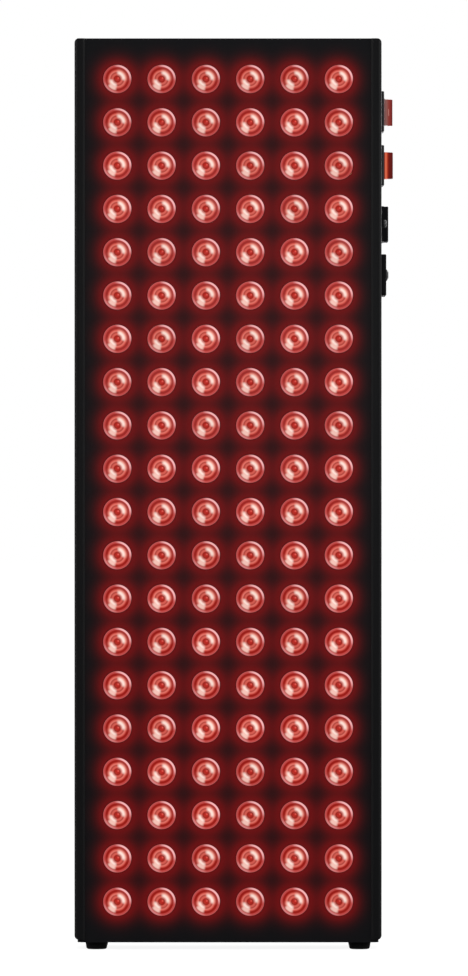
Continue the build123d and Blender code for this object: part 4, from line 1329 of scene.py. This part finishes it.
@dataclass
class Studio:
    """Pale floor, soft lamps and the camera.

    The camera's sizes are in millimetres or in pixels of the photograph, the others in metres.
    What the camera sees directly of the floor is floor_seen, and it lights the object as
    floor_colour does. Between the two distances of glow_reach it fades to full white from
    glow_share of it.
    """

    frame_width: int = 468
    frame_height: int = 976
    millimetres_per_pixel: float = 0.6836
    body_middle_pixel: float = 228.05
    plate_bottom_pixel: float = 942.4
    camera_distance: float = 6000.0
    sensor: float = 36.0
    clip_end: float = 100.0
    aim: tuple[float, float, float] = (0.0, 0.0, 0.32)
    white: str = "#FFFFFF"
    world_colour: str = "#F2F4F8"
    world_strength: float = 0.3
    floor_half: float = 30.0
    floor_colour: str = "#6E6E6E"
    floor_seen: str = "#F4F4F4"
    floor_glow: float = 1.04
    glow_reach: tuple[float, float] = (0.3, 1.2)
    glow_share: float = 0.86
    lamps: tuple[Lamp, ...] = (
        Lamp("near_soft", (0.05, -1.0, 0.46), (0.4, 0.3), 2.0),
        Lamp("left_key", (-2.3, -1.5, 1.3), (1.2, 1.2), 46.0),
        Lamp("right_key", (2.3, -1.4, 1.3), (1.2, 1.2), 56.0),
        Lamp("left_edge", (-2.4, -0.1, 0.6), (0.7, 1.2), 20.0),
        Lamp("right_edge", (2.4, -0.1, 0.6), (0.7, 1.2), 20.0),
        Lamp("top_soft", (0.0, 0.6, 3.0), (3.0, 3.0), 110.0),
        Lamp("back_soft", (0.7, 2.6, 1.0), (1.6, 1.6), 48.0),
    )

    def add_camera(self) -> None:
        """Looks straight at the front from far away, framed as the photograph is."""
        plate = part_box("front_plate")[0]
        scale = self.millimetres_per_pixel * MM
        x = (self.frame_width / 2 - self.body_middle_pixel) * scale
        z = plate.z + (self.plate_bottom_pixel - self.frame_height / 2) * scale
        data = bpy.data.cameras.new("camera")
        data.sensor_fit = "VERTICAL"
        data.sensor_height = data.sensor_width = self.sensor
        distance = self.camera_distance * MM + plate.y
        data.lens = self.sensor * distance / (self.frame_height * scale)
        data.clip_end = self.clip_end
        camera = add_object("camera", data)
        camera.location = (x, -self.camera_distance * MM, z)
        camera.rotation_euler = (QUARTER, 0, 0)
        bpy.context.scene.camera = camera

    def light(self) -> None:
        """Hangs the lamps and sets the world."""
        for lamp in self.lamps:
            lamp.hang(Vector(self.aim))
        world = bpy.data.worlds.new("studio")
        tree = empty_tree(world)
        plain = {"Color": linear(self.world_colour), "Strength": self.world_strength}
        backdrop = {"Color": linear(self.white), "Strength": 1.0}
        sides = {
            0: self.seen_directly(tree),
            1: add_node(tree, "ShaderNodeBackground", plain),
            2: add_node(tree, "ShaderNodeBackground", backdrop),
        }
        mixed = add_node(tree, "ShaderNodeMixShader", sides)
        add_node(tree, "ShaderNodeOutputWorld", {"Surface": mixed})
        bpy.context.scene.world = world

    @staticmethod
    def seen_directly(tree: Tree) -> Node:
        """Adds a value that is 1 for the rays that show the white backdrop.

        Args:
            tree: The node tree.

        Returns:
            Node of the value, for camera, glossy and transmission rays.
        """
        path = add_node(tree, "ShaderNodeLightPath").outputs
        rays = {0: path["Is Glossy Ray"], 1: path["Is Transmission Ray"]}
        mirrored = add_node(tree, MATH, rays, operation="MAXIMUM")
        return add_node(tree, MATH, {0: path["Is Camera Ray"], 1: mirrored}, operation="MAXIMUM")

    def add_floor(self) -> None:
        """Lays a white floor that keeps a faint shadow."""
        material = bpy.data.materials.new("floor_white")
        tree = empty_tree(material)
        seen = self.seen_directly(tree)
        tones = {0: seen, UNDER: linear(self.floor_colour), OVER: linear(self.floor_seen)}
        tone = add_node(tree, "ShaderNodeMix", tones, data_type="RGBA").outputs[MIXED]
        matt = add_node(tree, "ShaderNodeBsdfDiffuse", {"Color": tone})
        glow = {"Color": linear(self.white), "Strength": self.floor_glow}
        white = add_node(tree, "ShaderNodeEmission", glow)
        place = add_node(tree, "ShaderNodeTexCoord").outputs["Object"]
        reach = add_node(tree, VECTOR_MATH, {0: place}, operation="LENGTH").outputs["Value"]
        near, away = self.glow_reach
        ends = {"From Min": near, "From Max": away, "To Min": self.glow_share}
        far = add_node(tree, MAP_RANGE, {"Value": reach, **ends})
        share = add_node(tree, MATH, {0: seen, 1: far}, operation="MULTIPLY")
        mixed = add_node(tree, "ShaderNodeMixShader", {0: share, 1: matt, 2: white})
        add_node(tree, "ShaderNodeOutputMaterial", {"Surface": mixed})
        bm = bmesh.new()
        bmesh.ops.create_grid(bm, x_segments=1, y_segments=1, size=self.floor_half)
        floor = add_piece("floor", bm, material)


def build_rockers() -> None:
    """Makes the two rockers' finishes and builds the rockers."""
    shared = {
        "ior": 1.585,
        "grain": 0.4,
        "relief": 0.002,
        "start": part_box("upper_switch_body")[1].x,
        "end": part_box("upper_switch_rocker")[1].x,
    }
    # Moulded red polycarbonate, unlit: a painted highlight, milky by the bezel with painted shade
    # right at its edge, fading to deep red at the far edge.
    unlit_painted_highlight = RockerGlowAndPaintedHighlight(
        "moulded_polycarbonate_painted_highlight", "#561A18", 0.3,
        specular=0.02,
        # The painted highlight's ramp, from the bezel outwards.
        stops=(
            (0.0, "#202422"), (0.18, "#38403C"), (0.3, "#5A4C47"), (0.42, "#5E3C34"),
            (0.54, "#5C2820"), (0.66, "#5A1C14"), (0.78, "#440804"), (0.92, "#120000"),
        ),
        **shared,
    )
    # The same with its lamp full on: an orange strip by the bezel, near black at the far edge.
    lit = RockerGlowAndPaintedHighlight(
        "moulded_polycarbonate_lit", "#4A0B07", 0.34,
        specular=0.01,
        stops=(
            (0.0, "#5A1E10"), (0.07, "#7A2E1A"), (0.165, "#D26F51"), (0.28, "#C4563A"),
            (0.4, "#862408"), (0.51, "#4C0402"), (0.65, "#2A0200"), (1.0, "#0E0000"),
        ),
        **shared,
    )
    # Pad-printed paint worn thin: a flat pale mark that the red shows through.
    paint = Finish("pad_printed_paint", "#A06A60", 0.5, specular=0.1, relief=0.002).build()
    RockerSwitch("upper", "upper_rocker", -1).build(unlit_painted_highlight.build(), paint)
    RockerSwitch("lower", "lower_rocker", 1).build(lit.build(), paint)


def build_screws(nodes: FrameNodes) -> None:
    """Makes the two screw finishes and builds the screws.

    Args:
        nodes: All of the frame's nodes.
    """
    # Zinc-plated rolled steel: pale, with small bright points in the cross recess.
    zinc = Finish("zinc_plated_screw", "#A0A3A6", 0.32, 1.0, relief=0.004).build()
    # Black oxide on rolled steel: dark, with the steel's sheen still showing through.
    black = Finish("black_oxide_steel", "#1A1A1B", 0.42, 0.6, relief=0.004).build()
    domes = {"domed": 0.2, "round_share": 0.2}
    for screws, material in (
        (Screws("case_screws", "black_screw", Facing.BACK, 1.8, 1.5), black),
        (Screws("driver_screws", "black_screw", Facing.BACK, 1.8, 1.5), black),
        (Screws("fan_screws", "screw_steel", Facing.BACK, 2.2, 2.0), zinc),
        (Screws("inlet_screws", "black_screw", Facing.RIGHT, 1.8, 1.5), black),
        (Screws("outlet_screws", "black_screw", Facing.RIGHT, 1.5, 1.75, **domes), black),
        (Screws("foot_screws", "screw_steel", Facing.DOWN, 2.3, 2.0), zinc),
    ):
        screws.build(material, nodes)


def main() -> None:
    """Loads the frame, dresses it and adds the stage."""
    logging.basicConfig(level=logging.INFO, format="%(name)s %(message)s")
    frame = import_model()
    nodes = frame["nodes"]

    studio = Studio()
    studio.add_camera()
    studio.light()
    studio.add_floor()

    for finish in PLAIN_FINISHES:
        finish.dress_frame(nodes)

    lenses = Lenses()
    grid = lenses.grid()
    # Powder coat baked on sheet: the case's own near black, with the lenses' red light painted on
    # it.
    GlowingPlate(
        "powder_coated_plate_painted_glow", "#08080A", 0.44,
        specular=0.04, grain=0.5, relief=0.012, grid=grid,
        wearers=("front_plate",),
    ).dress_frame(nodes)
    # Moulded clear acrylic: glassy, so what shows is the lit emitter spread over the whole lens.
    acrylic = LitLens(
        "moulded_acrylic", "#180303", 0.2,
        ior=1.49, specular=0.05, grain=2.0, relief=0.0, mottle=0.02, grid=grid,
    )
    lenses.build(acrylic.build())
    build_rockers()

    # Moulded polyester from a polished mould: the blades catch a little more light than the frame.
    polyester = Finish("moulded_rotor_polyester", "#1A1B1D", 0.36, ior=1.57, relief=0.004).build()
    for number, body in enumerate(("fan_rotor_low", "fan_rotor_middle", "fan_rotor_high"), start=1):
        FanRotor(f"fan_rotor_{number}", body).build(polyester)

    build_screws(nodes)

    bpy.context.scene.view_settings.view_transform = "Standard"


if __name__ == "__main__":
    main()
